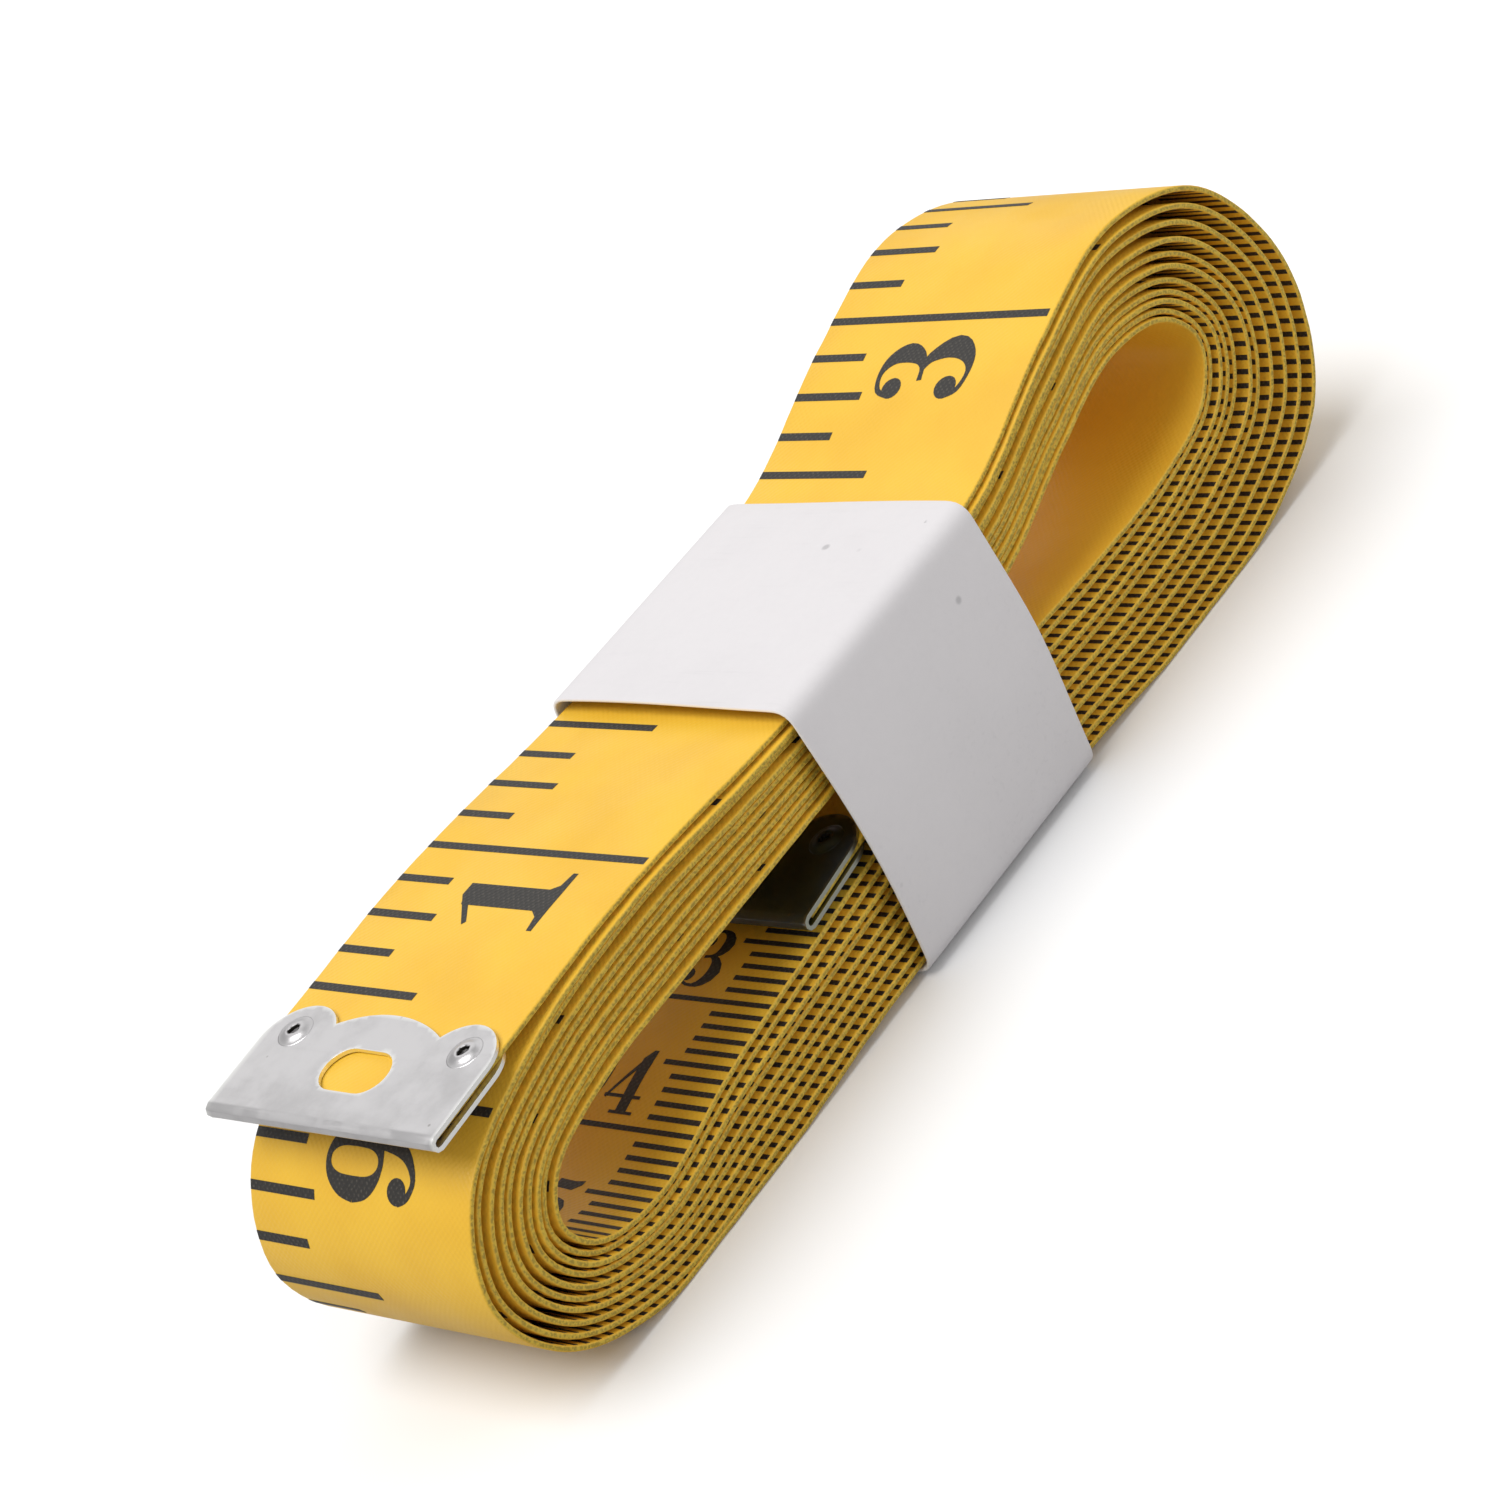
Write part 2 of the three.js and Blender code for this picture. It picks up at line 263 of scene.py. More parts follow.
@dataclass
class WoundTape:
    """The tape's sizes and the shape that it's wound to, clockwise as seen from -Y.

    Each row of `stations` gives a place on the outermost wrap (x, z), the place that matches it on the
    innermost wrap (x, z), and how much looser the outer wraps lie there. The looseness is a fit: it sets
    the wound length, and with it where the printed numbers fall inside the left loop.

    Attributes:
        width: The tape's width.
        thickness: Its thickness.
        turns: How many times it goes round, from the lift line to the inner end.
        end_rise: How far its inner end is lifted, to make room for the clip.
        end_rise_length: How much of the inner end the lift takes up.
        unevenness: How far the wraps' spacing varies, as a share of one wrap.
        ripple: How fast that variation runs from turn to turn, and where it starts, in radians.
        drift: Size, wavelength and start of each slow sideways wave.
        jitter: Size and two rates of the fine sideways wave.
        stations: The rows described above.
        free_end: The loose end's top face, from its cut end to the lift line.
        step: Spacing of the points along the tape.
        line: The wound tape's middle.
    """

    width: float = 20.0
    thickness: float = 0.4
    turns: float = 10.595
    end_rise: float = 0.9
    end_rise_length: float = 24.0
    unevenness: float = 0.08
    ripple: tuple[float, float] = (1.95, 0.8)
    drift: tuple[tuple[float, float, float], ...] = ((0.13, 71.0, 1.0), (0.07, 23.0, 0.0))
    jitter: tuple[float, float, float] = (0.02, 1.9, 0.37)
    stations: tuple[tuple[float, ...], ...] = (
        (-13.5, 21.45, -13.5, 15.0, 0.0),
        (0, 21.0, -1, 15.2, 0.0),
        (13.3, 21.6, 12, 15.4, 0.035),
        (24.5, 25.3, 21.5, 18.4, 0.235),
        (35, 27.4, 29.5, 20.3, 0.335),
        (44.8, 23.7, 35.8, 18.8, 0.435),
        (49.75, 13.5, 38.1, 15.2, 0.435),
        (47, 4.3, 35.6, 11.7, 0.435),
        (38.5, 0.2, 28.5, 10.2, 0.335),
        (26, -0.7, 19.5, 10.2, 0.135),
        (13, 0.2, 8, 10.7, 0.0),
        (-1, 0.3, -5, 10.2, 0.0),
        (-14, 0.1, -16, 9.1, 0.035),
        (-26, -0.7, -26, 7.9, 0.135),
        (-38, -0.5, -35, 6.1, 0.135),
        (-46.6, 3.4, -40.2, 7.4, 0.135),
        (-49.9, 10.2, -41.8, 10.3, 0.135),
        (-46.7, 17.3, -40, 13.0, 0.135),
        (-38, 20.9, -34, 14.5, 0.035),
        (-26, 22.2, -24, 14.8, 0.0),
    )
    free_end: tuple[tuple[float, float], ...] = (
        (-45.6, 21.3),
        (-36, 21.75),
        (-28, 22.15),
        (-20, 21.95),
        (-13.5, 21.45),
    )
    step: float = 0.25
    line: BendLine = field(init=False)

    def __post_init__(self) -> None:
        """Winds the tape."""
        outer_face = np.vstack([self._free_end_face()[:-1], self._coil_face()])
        outer_face = soften(resample(outer_face, self.step), 7)
        outer_face[:, 1] = np.maximum(outer_face[:, 1], 0.0)
        facing = BendLine(outer_face)
        middle = facing.place(facing.lengths, np.full(len(outer_face), -self.thickness / 2))
        self.line = BendLine(middle)

    def _coil_face(self) -> np.ndarray:
        """The coil's outer face, from the lift line to the inner end."""
        rows = np.array(self.stations, dtype=float)
        outermost = rows[:, [0, 1, 4]]
        innermost = rows[:, [2, 3, 4]]
        face = []
        for turn in np.linspace(0.0, self.turns, int(self.turns * 300)):
            outside = closed_curve_point(outermost, turn)
            inside = closed_curve_point(innermost, turn)
            wound = turn / self.turns
            depth = wound * (1 + outside[2] * (1 - wound))
            uneven = self.unevenness * math.sin(self.ripple[0] * turn + self.ripple[1])
            depth += uneven * math.sin(math.pi * wound) ** 0.5 / self.turns
            face.append((outside + (inside - outside) * depth)[:2])
        path = np.array(face)
        path[:, 1] = np.maximum(path[:, 1], 0.0)
        return self._raise_end(path)

    def _raise_end(self, path: np.ndarray) -> np.ndarray:
        """Lifts the inner end smoothly, to make room for the clip under it."""
        steps = np.hypot(*np.diff(path, axis=0).T)
        from_end = np.concatenate([np.cumsum(steps[::-1])[::-1], [0.0]])
        half = self.end_rise_length / 2
        share = np.clip((from_end - half) / half, 0.0, 1.0)
        raised = path.copy()
        raised[:, 1] += self.end_rise * (1 - share * share * (3 - 2 * share))
        return raised

    def _free_end_face(self) -> np.ndarray:
        """The loose end's top face, from its cut end to the lift line."""
        points = np.array(self.free_end, dtype=float)
        places = np.concatenate([[0.0], np.cumsum(np.hypot(*np.diff(points, axis=0).T))])
        slopes = np.gradient(points, places, axis=0)
        face = []
        for place in np.linspace(0.0, places[-1], 120):
            index = min(int(np.searchsorted(places, place, side="right")) - 1, len(points) - 2)
            gap = places[index + 1] - places[index]
            t = (place - places[index]) / gap
            face.append(
                (2 * t**3 - 3 * t**2 + 1) * points[index]
                + (t**3 - 2 * t**2 + t) * gap * slopes[index]
                + (3 * t**2 - 2 * t**3) * points[index + 1]
                + (t**3 - t**2) * gap * slopes[index + 1]
            )
        return np.array(face)

    def wander(self, along: np.ndarray) -> np.ndarray:
        """How far the tape lies to one side at each length, so that the wraps' edges don't line up."""
        drifted = sum(size * np.sin(along / length + start) for size, length, start in self.drift)
        size, fast, slow = self.jitter
        return drifted + size * np.sin(along * fast) * np.sin(along * slow)

    def wind(self, flat: np.ndarray) -> np.ndarray:
        """Bends points of the flat tape to the wound shape.

        Args:
            flat: Rows of length along the tape, place across it, and height above its middle.

        Returns:
            Rows of x, y and z, all in millimetres.
        """
        bent = self.line.place(flat[:, 0], flat[:, 2])
        across = flat[:, 1] + self.wander(flat[:, 0])
        return np.stack([bent[:, 0], across, bent[:, 1]], axis=1)


# ---------------------------------------------------------------- strips


@dataclass(frozen=True)
class StripSection:
    """The cut across a flat strip: two faces and two slightly rounded cut edges.

    Attributes:
        width: From edge to edge.
        thickness: From face to face.
        rounding: Radius of the corners of the cut edges.
        columns: Points across each face.
    """

    width: float
    thickness: float
    rounding: float
    columns: int = 2

    def outline(self) -> np.ndarray:
        """The section's outline as rows of place across and height, anticlockwise seen from the start."""
        half = self.width / 2
        top = self.thickness / 2
        bend = self.rounding
        corner = [(math.sin(angle), math.cos(angle)) for angle in np.radians([0, 30, 60, 90])]
        edge = [(half - bend + bend * s, top - bend + bend * c) for s, c in corner]
        edge += [(y, -h) for y, h in reversed(edge)]
        face = [(y, top) for y in np.linspace(-half + bend, half - bend, self.columns)[1:-1]]
        side = face + edge
        return np.array(side + [(-y, -h) for y, h in side])

    def is_edge(self) -> np.ndarray:
        """How deep in the cut edge each of the outline's points lies, from 0 on a face to 1."""
        outline = self.outline()
        core = self.thickness / 2 - self.rounding
        return np.clip((self.thickness / 2 - np.abs(outline[:, 1])) / (self.thickness / 2 - core), 0.0, 1.0)


def strip_mesh(
    name: str,
    section: StripSection,
    stations: np.ndarray,
    bend: Callable[[np.ndarray], np.ndarray],
) -> bpy.types.Mesh:
    """Makes a closed strip by bending a flat one.

    Args:
        name: The mesh's name.
        section: The cut across the strip.
        stations: The lengths along the strip at which it has a ring of points.
        bend: Turns rows of length, place across and height into rows of x, y and z.

    Returns:
        The mesh, with a UV map of length and width in centimetres, and a `cut_edge` attribute.
    """
    outline = section.outline()
    ring = len(outline)
    count = len(stations)
    flat = np.empty((count, ring, 3))
    flat[:, :, 0] = stations[:, None]
    flat[:, :, 1] = outline[None, :, 0]
    flat[:, :, 2] = outline[None, :, 1]
    flat = flat.reshape(-1, 3)
    faces: list[list[int]] = []
    for row in range(count - 1):
        start = row * ring
        for column in range(ring):
            following = (column + 1) % ring
            faces.append([start + column, start + following, start + ring + following, start + ring + column])
    faces.append(list(range(ring))[::-1])
    faces.append([(count - 1) * ring + column for column in range(ring)])
    mesh = mesh_from(name, bend(flat), faces)
    corners = np.empty(len(mesh.loops), dtype=np.int32)
    mesh.loops.foreach_get("vertex_index", corners)
    layer = mesh.uv_layers.new(name="tape_uv")
    layer.data.foreach_set("uv", (flat[corners][:, :2] * 0.1).ravel())
    mark = mesh.attributes.new("cut_edge", "FLOAT", "POINT")
    mark.data.foreach_set("value", np.tile(section.is_edge(), count))
    face_outwards(mesh)
    return mesh


# ---------------------------------------------------------------- node tools


class Nodes:
    """Adds and links the nodes of one tree."""

    def __init__(self, tree: bpy.types.NodeTree) -> None:
        """Keeps the tree that nodes are added to.

        Args:
            tree: A shader or geometry node tree.
        """
        self.tree = tree

    def add(self, kind: str, settings: dict[str, object] | None = None, **inputs: object) -> bpy.types.Node:
        """Adds one node.

        Args:
            kind: The node's type name.
            settings: Values of the node's own options.
            **inputs: Values or sockets for its inputs. Underscores stand for spaces, and a name such as
                `in_0` stands for the input of that number.

        Returns:
            The node.
        """
        node = self.tree.nodes.new(kind)
        for name, value in (settings or {}).items():
            setattr(node, name, value)
        for name, value in inputs.items():
            self.feed(node, name, value)
        return node

    def feed(self, node: bpy.types.Node, name: str, value: object) -> None:
        """Sets or links one input of a node.

        Args:
            node: The node.
            name: The input's name, as `add` takes it.
            value: A plain value, or the socket to link from.
        """
        key: int | str = int(name[3:]) if name.startswith("in_") else name.replace("_", " ")
        socket = node.inputs[key]
        if isinstance(value, bpy.types.NodeSocket):
            self.tree.links.new(value, socket)
        else:
            socket.default_value = value

    def maths(
        self, operation: str, first: object, second: object = 0.0, clamp: bool = False
    ) -> bpy.types.NodeSocket:
        """Adds a Math node and returns its result.

        Args:
            operation: The node's operation.
            first: Its first value or socket.
            second: Its second value or socket.
            clamp: Whether the result is held between 0 and 1.

        Returns:
            The result's socket.
        """
        settings = {"operation": operation, "use_clamp": clamp}
        return self.add("ShaderNodeMath", settings, in_0=first, in_1=second).outputs[0]

    def ramp(
        self, value: object, low: float, high: float, to_low: float = 0.0, to_high: float = 1.0
    ) -> bpy.types.NodeSocket:
        """Maps a value from one range to another, smoothly and held at its ends.

        Args:
            value: The value or socket.
            low: The value that gives `to_low`.
            high: The value that gives `to_high`.
            to_low: The result at the low end.
            to_high: The result at the high end.

        Returns:
            The result's socket.
        """
        settings = {"interpolation_type": "SMOOTHSTEP"}
        node = self.add(
            "ShaderNodeMapRange", settings, in_0=value, in_1=low, in_2=high, in_3=to_low, in_4=to_high
        )
        return node.outputs[0]

    def blend(self, share: object, first: object, second: object, mode: str = "MIX") -> bpy.types.NodeSocket:
        """Mixes two colours.

        Args:
            share: How much of the second colour, as a value or socket.
            first: The first colour or socket.
            second: The second colour or socket.
            mode: How the second colour is laid on the first.

        Returns:
            The mixed colour's socket.
        """
        node = self.add("ShaderNodeMix", {"data_type": "RGBA", "blend_type": mode})
        for index, value in ((0, share), (6, first), (7, second)):
            self.feed(node, f"in_{index}", value)
        return node.outputs[2]


def new_group(
    name: str, kind: str, inputs: Iterable[tuple[str, str, object]], outputs: Iterable[tuple[str, str]]
) -> tuple[Nodes, bpy.types.Node, bpy.types.Node]:
    """Makes an empty node group with named sockets.

    Args:
        name: The group's name.
        kind: `ShaderNodeTree` or `GeometryNodeTree`.
        inputs: Name, socket type and usual value of each input.
        outputs: Name and socket type of each output.

    Returns:
        The group's node tool, its input node and its output node.
    """
    tree = bpy.data.node_groups.new(name, kind)
    for label, socket, value in inputs:
        made = tree.interface.new_socket(label, in_out="INPUT", socket_type=socket)
        if value is not None:
            made.default_value = value
    for label, socket in outputs:
        tree.interface.new_socket(label, in_out="OUTPUT", socket_type=socket)
    return Nodes(tree), tree.nodes.new("NodeGroupInput"), tree.nodes.new("NodeGroupOutput")


def cloth_relief_group() -> bpy.types.NodeTree:
    """The relief of the woven cloth that shows through the tape's coating and its print.

    Returns:
        A group with inputs Place, Threads and Unevenness, and outputs Relief and Thinness.
    """
    nodes, given, result = new_group(
        "cloth_relief",
        "ShaderNodeTree",
        [
            ("Place", "NodeSocketVector", None),
            ("Threads", "NodeSocketFloat", 22.0),
            ("Unevenness", "NodeSocketFloat", 0.35),
        ],
        [("Relief", "NodeSocketFloat"), ("Thinness", "NodeSocketFloat")],
    )
    place, threads, unevenness = (given.outputs[name] for name in ("Place", "Threads", "Unevenness"))
    wobble = nodes.add("ShaderNodeTexNoise", Vector=place, Scale=9.0, Detail=2.0).outputs["Fac"]
    split = nodes.add("ShaderNodeSeparateXYZ", Vector=place)
    waves = []
    for axis, ratio in (("X", 1.0), ("Y", 1.12)):
        turned = nodes.maths("MULTIPLY", split.outputs[axis], threads)
        turned = nodes.maths("MULTIPLY", turned, ratio * 2 * math.pi)
        shifted = nodes.maths("ADD", turned, nodes.maths("MULTIPLY", wobble, 3.0))
        waves.append(nodes.maths("SINE", shifted))
    woven = nodes.maths("MULTIPLY", waves[0], waves[1])
    grain = nodes.add("ShaderNodeTexNoise", Vector=place, Scale=60.0, Detail=3.0).outputs["Fac"]
    uneven = nodes.maths("MULTIPLY", grain, unevenness)
    relief = nodes.maths("ADD", nodes.maths("MULTIPLY", woven, 0.35), uneven)
    nodes.feed(result, "Relief", relief)
    thin = nodes.ramp(nodes.maths("ADD", nodes.maths("MULTIPLY", woven, 0.25), grain), 0.52, 0.95)
    nodes.feed(result, "Thinness", thin)
    return nodes.tree


def handling_group() -> bpy.types.NodeTree:
    """Faint smudges, specks and fine scratches that handling leaves on a surface.

    Returns:
        A group with inputs Place, Smudge Size and Speck Size, and outputs Smudge, Speck and Scratch.
    """
    nodes, given, result = new_group(
        "handling",
        "ShaderNodeTree",
        [
            ("Place", "NodeSocketVector", None),
            ("Smudge Size", "NodeSocketFloat", 120.0),
            ("Speck Size", "NodeSocketFloat", 700.0),
        ],
        [(name, "NodeSocketFloat") for name in ("Smudge", "Speck", "Scratch")],
    )
    place = given.outputs["Place"]
    cloud = nodes.add(
        "ShaderNodeTexNoise", Vector=place, Scale=given.outputs["Smudge Size"], Detail=5.0, Roughness=0.6
    )
    nodes.feed(result, "Smudge", nodes.ramp(cloud.outputs["Fac"], 0.35, 0.7))
    cells = nodes.add("ShaderNodeTexVoronoi", Vector=place, Scale=given.outputs["Speck Size"])
    near = nodes.ramp(cells.outputs["Distance"], 0.13, 0.05)
    chosen = nodes.add("ShaderNodeTexWhiteNoise", Vector=cells.outputs["Position"]).outputs["Value"]
    rare = nodes.maths("GREATER_THAN", chosen, 0.9)
    nodes.feed(result, "Speck", nodes.maths("MULTIPLY", near, rare))
    stretched = nodes.add("ShaderNodeMapping", Vector=place, Rotation=(0.3, 0.2, 0.5), Scale=(1.0, 0.06, 1.0))
    lines = nodes.add("ShaderNodeTexNoise", Vector=stretched.outputs[0], Scale=2600.0, Detail=2.0)
    nodes.feed(result, "Scratch", nodes.ramp(lines.outputs["Fac"], 0.55, 0.75))
    return nodes.tree


# ---------------------------------------------------------------- finishes


@dataclass(frozen=True)
class Finish:
    """A surface finish.

    Attributes:
        name: The material's name.
        colour: Its main colour, linear.
        roughness: How matt it is.
    """

    name: str
    colour: tuple[float, float, float]
    roughness: float

    def start(self, **shader: object) -> tuple[bpy.types.Material, Nodes, bpy.types.Node]:
        """Makes the material with a bare shader.

        Args:
            **shader: Plain values for the shader's other sockets.

        Returns:
            The material, its node tool and its shader node.
        """
        material = bpy.data.materials.new(self.name)
        material.use_nodes = True
        nodes = Nodes(material.node_tree)
        surface = material.node_tree.nodes["Principled BSDF"]
        nodes.feed(surface, "Base_Color", (*self.colour, 1.0))
        nodes.feed(surface, "Roughness", self.roughness)
        for name, value in shader.items():
            nodes.feed(surface, name, value)
        material.diffuse_color = (*self.colour, 1.0)
        return material, nodes, surface

    def place_group(self, nodes: Nodes, tree: bpy.types.NodeTree, **inputs: object) -> bpy.types.Node:
        """Places a shared node group in this material.

        Args:
            nodes: The material's node tool.
            tree: The group.
            **inputs: The group's inputs, as `Nodes.add` takes them.

        Returns:
            The group's node.
        """
        return nodes.add("ShaderNodeGroup", {"node_tree": tree}, **inputs)

    def raise_relief(
        self, nodes: Nodes, surface: bpy.types.Node, height: object, depth: float, strength: float
    ) -> None:
        """Gives the surface a fine relief.

        Args:
            nodes: The material's node tool.
            surface: Its shader node.
            height: The socket that gives the relief.
            depth: The relief's depth in metres.
            strength: How strongly it shows.
        """
        bump = nodes.add("ShaderNodeBump", Strength=strength, Distance=depth, Height=height)
        nodes.feed(surface, "Normal", bump.outputs[0])


@dataclass(frozen=True)
class VinylFinish(Finish):
    """Coated cloth: satin yellow faces, and paler cut edges where the cloth shows.

    Attributes:
        deep: The deeper yellow of the coating's thicker places.
        edge: The colour of the cut edges.
        thread: The colour of the cloth's threads in the cut edges.
    """

    deep: tuple[float, float, float] = (0.8, 0.44, 0.03)
    edge: tuple[float, float, float] = (0.62, 0.44, 0.05)
    thread: tuple[float, float, float] = (0.3, 0.22, 0.03)

    def material(self, relief: bpy.types.NodeTree, handling: bpy.types.NodeTree) -> bpy.types.Material:
        """Makes the material from the two shared groups."""
        material, nodes, surface = self.start(Specular_IOR_Level=0.4, Coat_Roughness=0.3)
        along = nodes.add("ShaderNodeUVMap", {"uv_map": "tape_uv"}).outputs[0]
        place = nodes.add("ShaderNodeTexCoord").outputs["Object"]
        cloth = self.place_group(nodes, relief, Place=along, Threads=20.0, Unevenness=0.3)
        marks = self.place_group(nodes, handling, Place=place, Smudge_Size=90.0, Speck_Size=500.0)
        cloud = nodes.add("ShaderNodeTexNoise", Vector=along, Scale=1.3, Detail=4.0).outputs["Fac"]
        tone = nodes.blend(nodes.ramp(cloud, 0.3, 0.75, 0.0, 0.6), (*self.colour, 1.0), (*self.deep, 1.0))
        tone = nodes.blend(nodes.maths("MULTIPLY", cloth.outputs["Thinness"], 0.12), tone, (*self.deep, 1.0))
        cut = nodes.add("ShaderNodeAttribute", {"attribute_name": "cut_edge"}).outputs["Fac"]
        fibres = nodes.add("ShaderNodeTexNoise", Vector=place, Scale=5200.0, Detail=3.0).outputs["Fac"]
        frayed = nodes.blend(nodes.ramp(fibres, 0.38, 0.62), (*self.edge, 1.0), (*self.thread, 1.0))
        tone = nodes.blend(nodes.maths("MULTIPLY", cut, 0.9), tone, frayed)
        nodes.feed(surface, "Base_Color", tone)
        matt = nodes.ramp(marks.outputs["Smudge"], 0.0, 1.0, self.roughness - 0.05, self.roughness + 0.1)
        nodes.feed(surface, "Roughness", nodes.maths("ADD", matt, nodes.maths("MULTIPLY", cut, 0.2)))
        self.raise_relief(nodes, surface, cloth.outputs["Relief"], 0.00006, 0.35)
        return material


@dataclass(frozen=True)
class InkFinish(Finish):
    """The print: matt dark ink, thinner over the threads of the cloth under it."""

    worn: tuple[float, float, float] = (0.085, 0.075, 0.06)

    def material(self, relief: bpy.types.NodeTree) -> bpy.types.Material:
        """Makes the material from the shared cloth relief."""
        material, nodes, surface = self.start(Specular_IOR_Level=0.4)
        along = nodes.add("ShaderNodeUVMap", {"uv_map": "tape_uv"}).outputs[0]
        cloth = self.place_group(nodes, relief, Place=along, Threads=20.0, Unevenness=0.5)
        tone = nodes.blend(cloth.outputs["Thinness"], (*self.colour, 1.0), (*self.worn, 1.0))
        nodes.feed(surface, "Base_Color", tone)
        self.raise_relief(nodes, surface, cloth.outputs["Relief"], 0.00006, 0.35)
        return material


@dataclass(frozen=True)
class SteelFinish(Finish):
    """Bright pressed tinplate with faint rolling lines, smudges and scratches.

    Attributes:
        tarnish: The colour of its duller places.
        cut: The colour of its cut edges.
    """

    tarnish: tuple[float, float, float] = (0.5, 0.49, 0.49)
    cut: tuple[float, float, float] = (0.9, 0.9, 0.88)

    def material(self, handling: bpy.types.NodeTree) -> bpy.types.Material:
        """Makes the material from the shared handling marks."""
        material, nodes, surface = self.start(Metallic=1.0)
        place = nodes.add("ShaderNodeTexCoord").outputs["Object"]
        marks = self.place_group(nodes, handling, Place=place, Smudge_Size=260.0, Speck_Size=900.0)
        rolled = nodes.add("ShaderNodeMapping", Vector=place, Scale=(1.0, 0.04, 1.0)).outputs[0]
        lines = nodes.add("ShaderNodeTexNoise", Vector=rolled, Scale=4200.0, Detail=3.0).outputs["Fac"]
        # Share of the tarnish colour at smudges; on the inner clip this colour is painted shade as well.
        tarnish_and_painted_shade = nodes.maths("MULTIPLY", marks.outputs["Smudge"], 0.5)
        tone = nodes.blend(tarnish_and_painted_shade, (*self.colour, 1.0), (*self.tarnish, 1.0))
        tone = nodes.blend(nodes.maths("MULTIPLY", marks.outputs["Speck"], 0.5), tone, (0.2, 0.18, 0.16, 1.0))
        cut = nodes.add("ShaderNodeAttribute", {"attribute_name": "cut_edge"}).outputs["Fac"]
        tone = nodes.blend(cut, tone, (*self.cut, 1.0))
        # Painted shade: points inside each eyelet's hole are painted near black, for the shade inside the
        # hole.
        pit = nodes.add("ShaderNodeAttribute", {"attribute_name": "pit"}).outputs["Fac"]
        tone = nodes.blend(pit, tone, (0.015, 0.014, 0.012, 1.0))
        nodes.feed(surface, "Base_Color", tone)
        matt = nodes.ramp(marks.outputs["Smudge"], 0.0, 1.0, self.roughness - 0.05, self.roughness + 0.1)
        matt = nodes.maths("ADD", matt, nodes.maths("MULTIPLY", marks.outputs["Scratch"], 0.08))
        nodes.feed(surface, "Roughness", matt)
        height = nodes.maths("ADD", nodes.maths("MULTIPLY", lines, 0.6), marks.outputs["Smudge"])
        self.raise_relief(nodes, surface, height, 0.000012, 0.25)
        return material


@dataclass(frozen=True)
class CardFinish(Finish):
    """Matt white card with a faint fibre and a few grey specks."""

    speck: tuple[float, float, float] = (0.34, 0.33, 0.34)

    def material(self, handling: bpy.types.NodeTree) -> bpy.types.Material:
        """Makes the material from the shared handling marks."""
        material, nodes, surface = self.start(Specular_IOR_Level=0.3, Sheen_Weight=0.08)
        place = nodes.add("ShaderNodeTexCoord").outputs["Object"]
        marks = self.place_group(nodes, handling, Place=place, Smudge_Size=70.0, Speck_Size=330.0)
        fibre = nodes.add("ShaderNodeTexNoise", Vector=place, Scale=1500.0, Detail=5.0, Roughness=0.7)
        shade = nodes.maths("MULTIPLY", nodes.ramp(fibre.outputs["Fac"], 0.3, 0.75), 0.1)
        tone = nodes.blend(shade, (*self.colour, 1.0), (0.62, 0.6, 0.62, 1.0))
        tone = nodes.blend(nodes.maths("MULTIPLY", marks.outputs["Smudge"], 0.06), tone, (*self.speck, 1.0))
        tone = nodes.blend(nodes.maths("MULTIPLY", marks.outputs["Speck"], 0.55), tone, (*self.speck, 1.0))
        scuff = nodes.maths("MULTIPLY", marks.outputs["Scratch"], marks.outputs["Smudge"])
        tone = nodes.blend(nodes.maths("MULTIPLY", scuff, 0.1), tone, (*self.speck, 1.0))
        cut = nodes.add("ShaderNodeAttribute", {"attribute_name": "cut_edge"}).outputs["Fac"]
        tone = nodes.blend(cut, tone, (0.95, 0.94, 0.94, 1.0))
        nodes.feed(surface, "Base_Color", tone)
        self.raise_relief(nodes, surface, fibre.outputs["Fac"], 0.00004, 0.2)
        return material


@dataclass
class Finishes:
    """Every material of the object, made once."""

    tape: bpy.types.Material = field(init=False)
    ink: bpy.types.Material = field(init=False)
    steel: bpy.types.Material = field(init=False)
    dull_steel: bpy.types.Material = field(init=False)
    card: bpy.types.Material = field(init=False)

    def __post_init__(self) -> None:
        """Builds the shared groups and the materials."""
        relief = cloth_relief_group()
        handling = handling_group()
        self.tape = VinylFinish("tape_vinyl", (0.9, 0.54, 0.045), 0.42).material(relief, handling)
        self.ink = InkFinish("tape_ink", (0.028, 0.025, 0.022), 0.5).material(relief)
        self.steel = SteelFinish("clip_steel", (0.7, 0.685, 0.69), 0.36).material(handling)
        # Painted shade: the inner clip gets a darkened copy of the clip steel, painted near black with darker
        # tarnish and less dark cut edges, for the shade inside the coil.
        tarnish_and_painted_shade = SteelFinish(
            "painted_shade_clip_steel", (0.14, 0.19, 0.26), 0.34, tarnish=(0.08, 0.1, 0.14), cut=(0.34, 0.35, 0.3)
        )
        self.dull_steel = tarnish_and_painted_shade.material(handling)
        self.card = CardFinish("band_card", (0.735, 0.71, 0.72), 0.8).material(handling)


# ---------------------------------------------------------------- digits


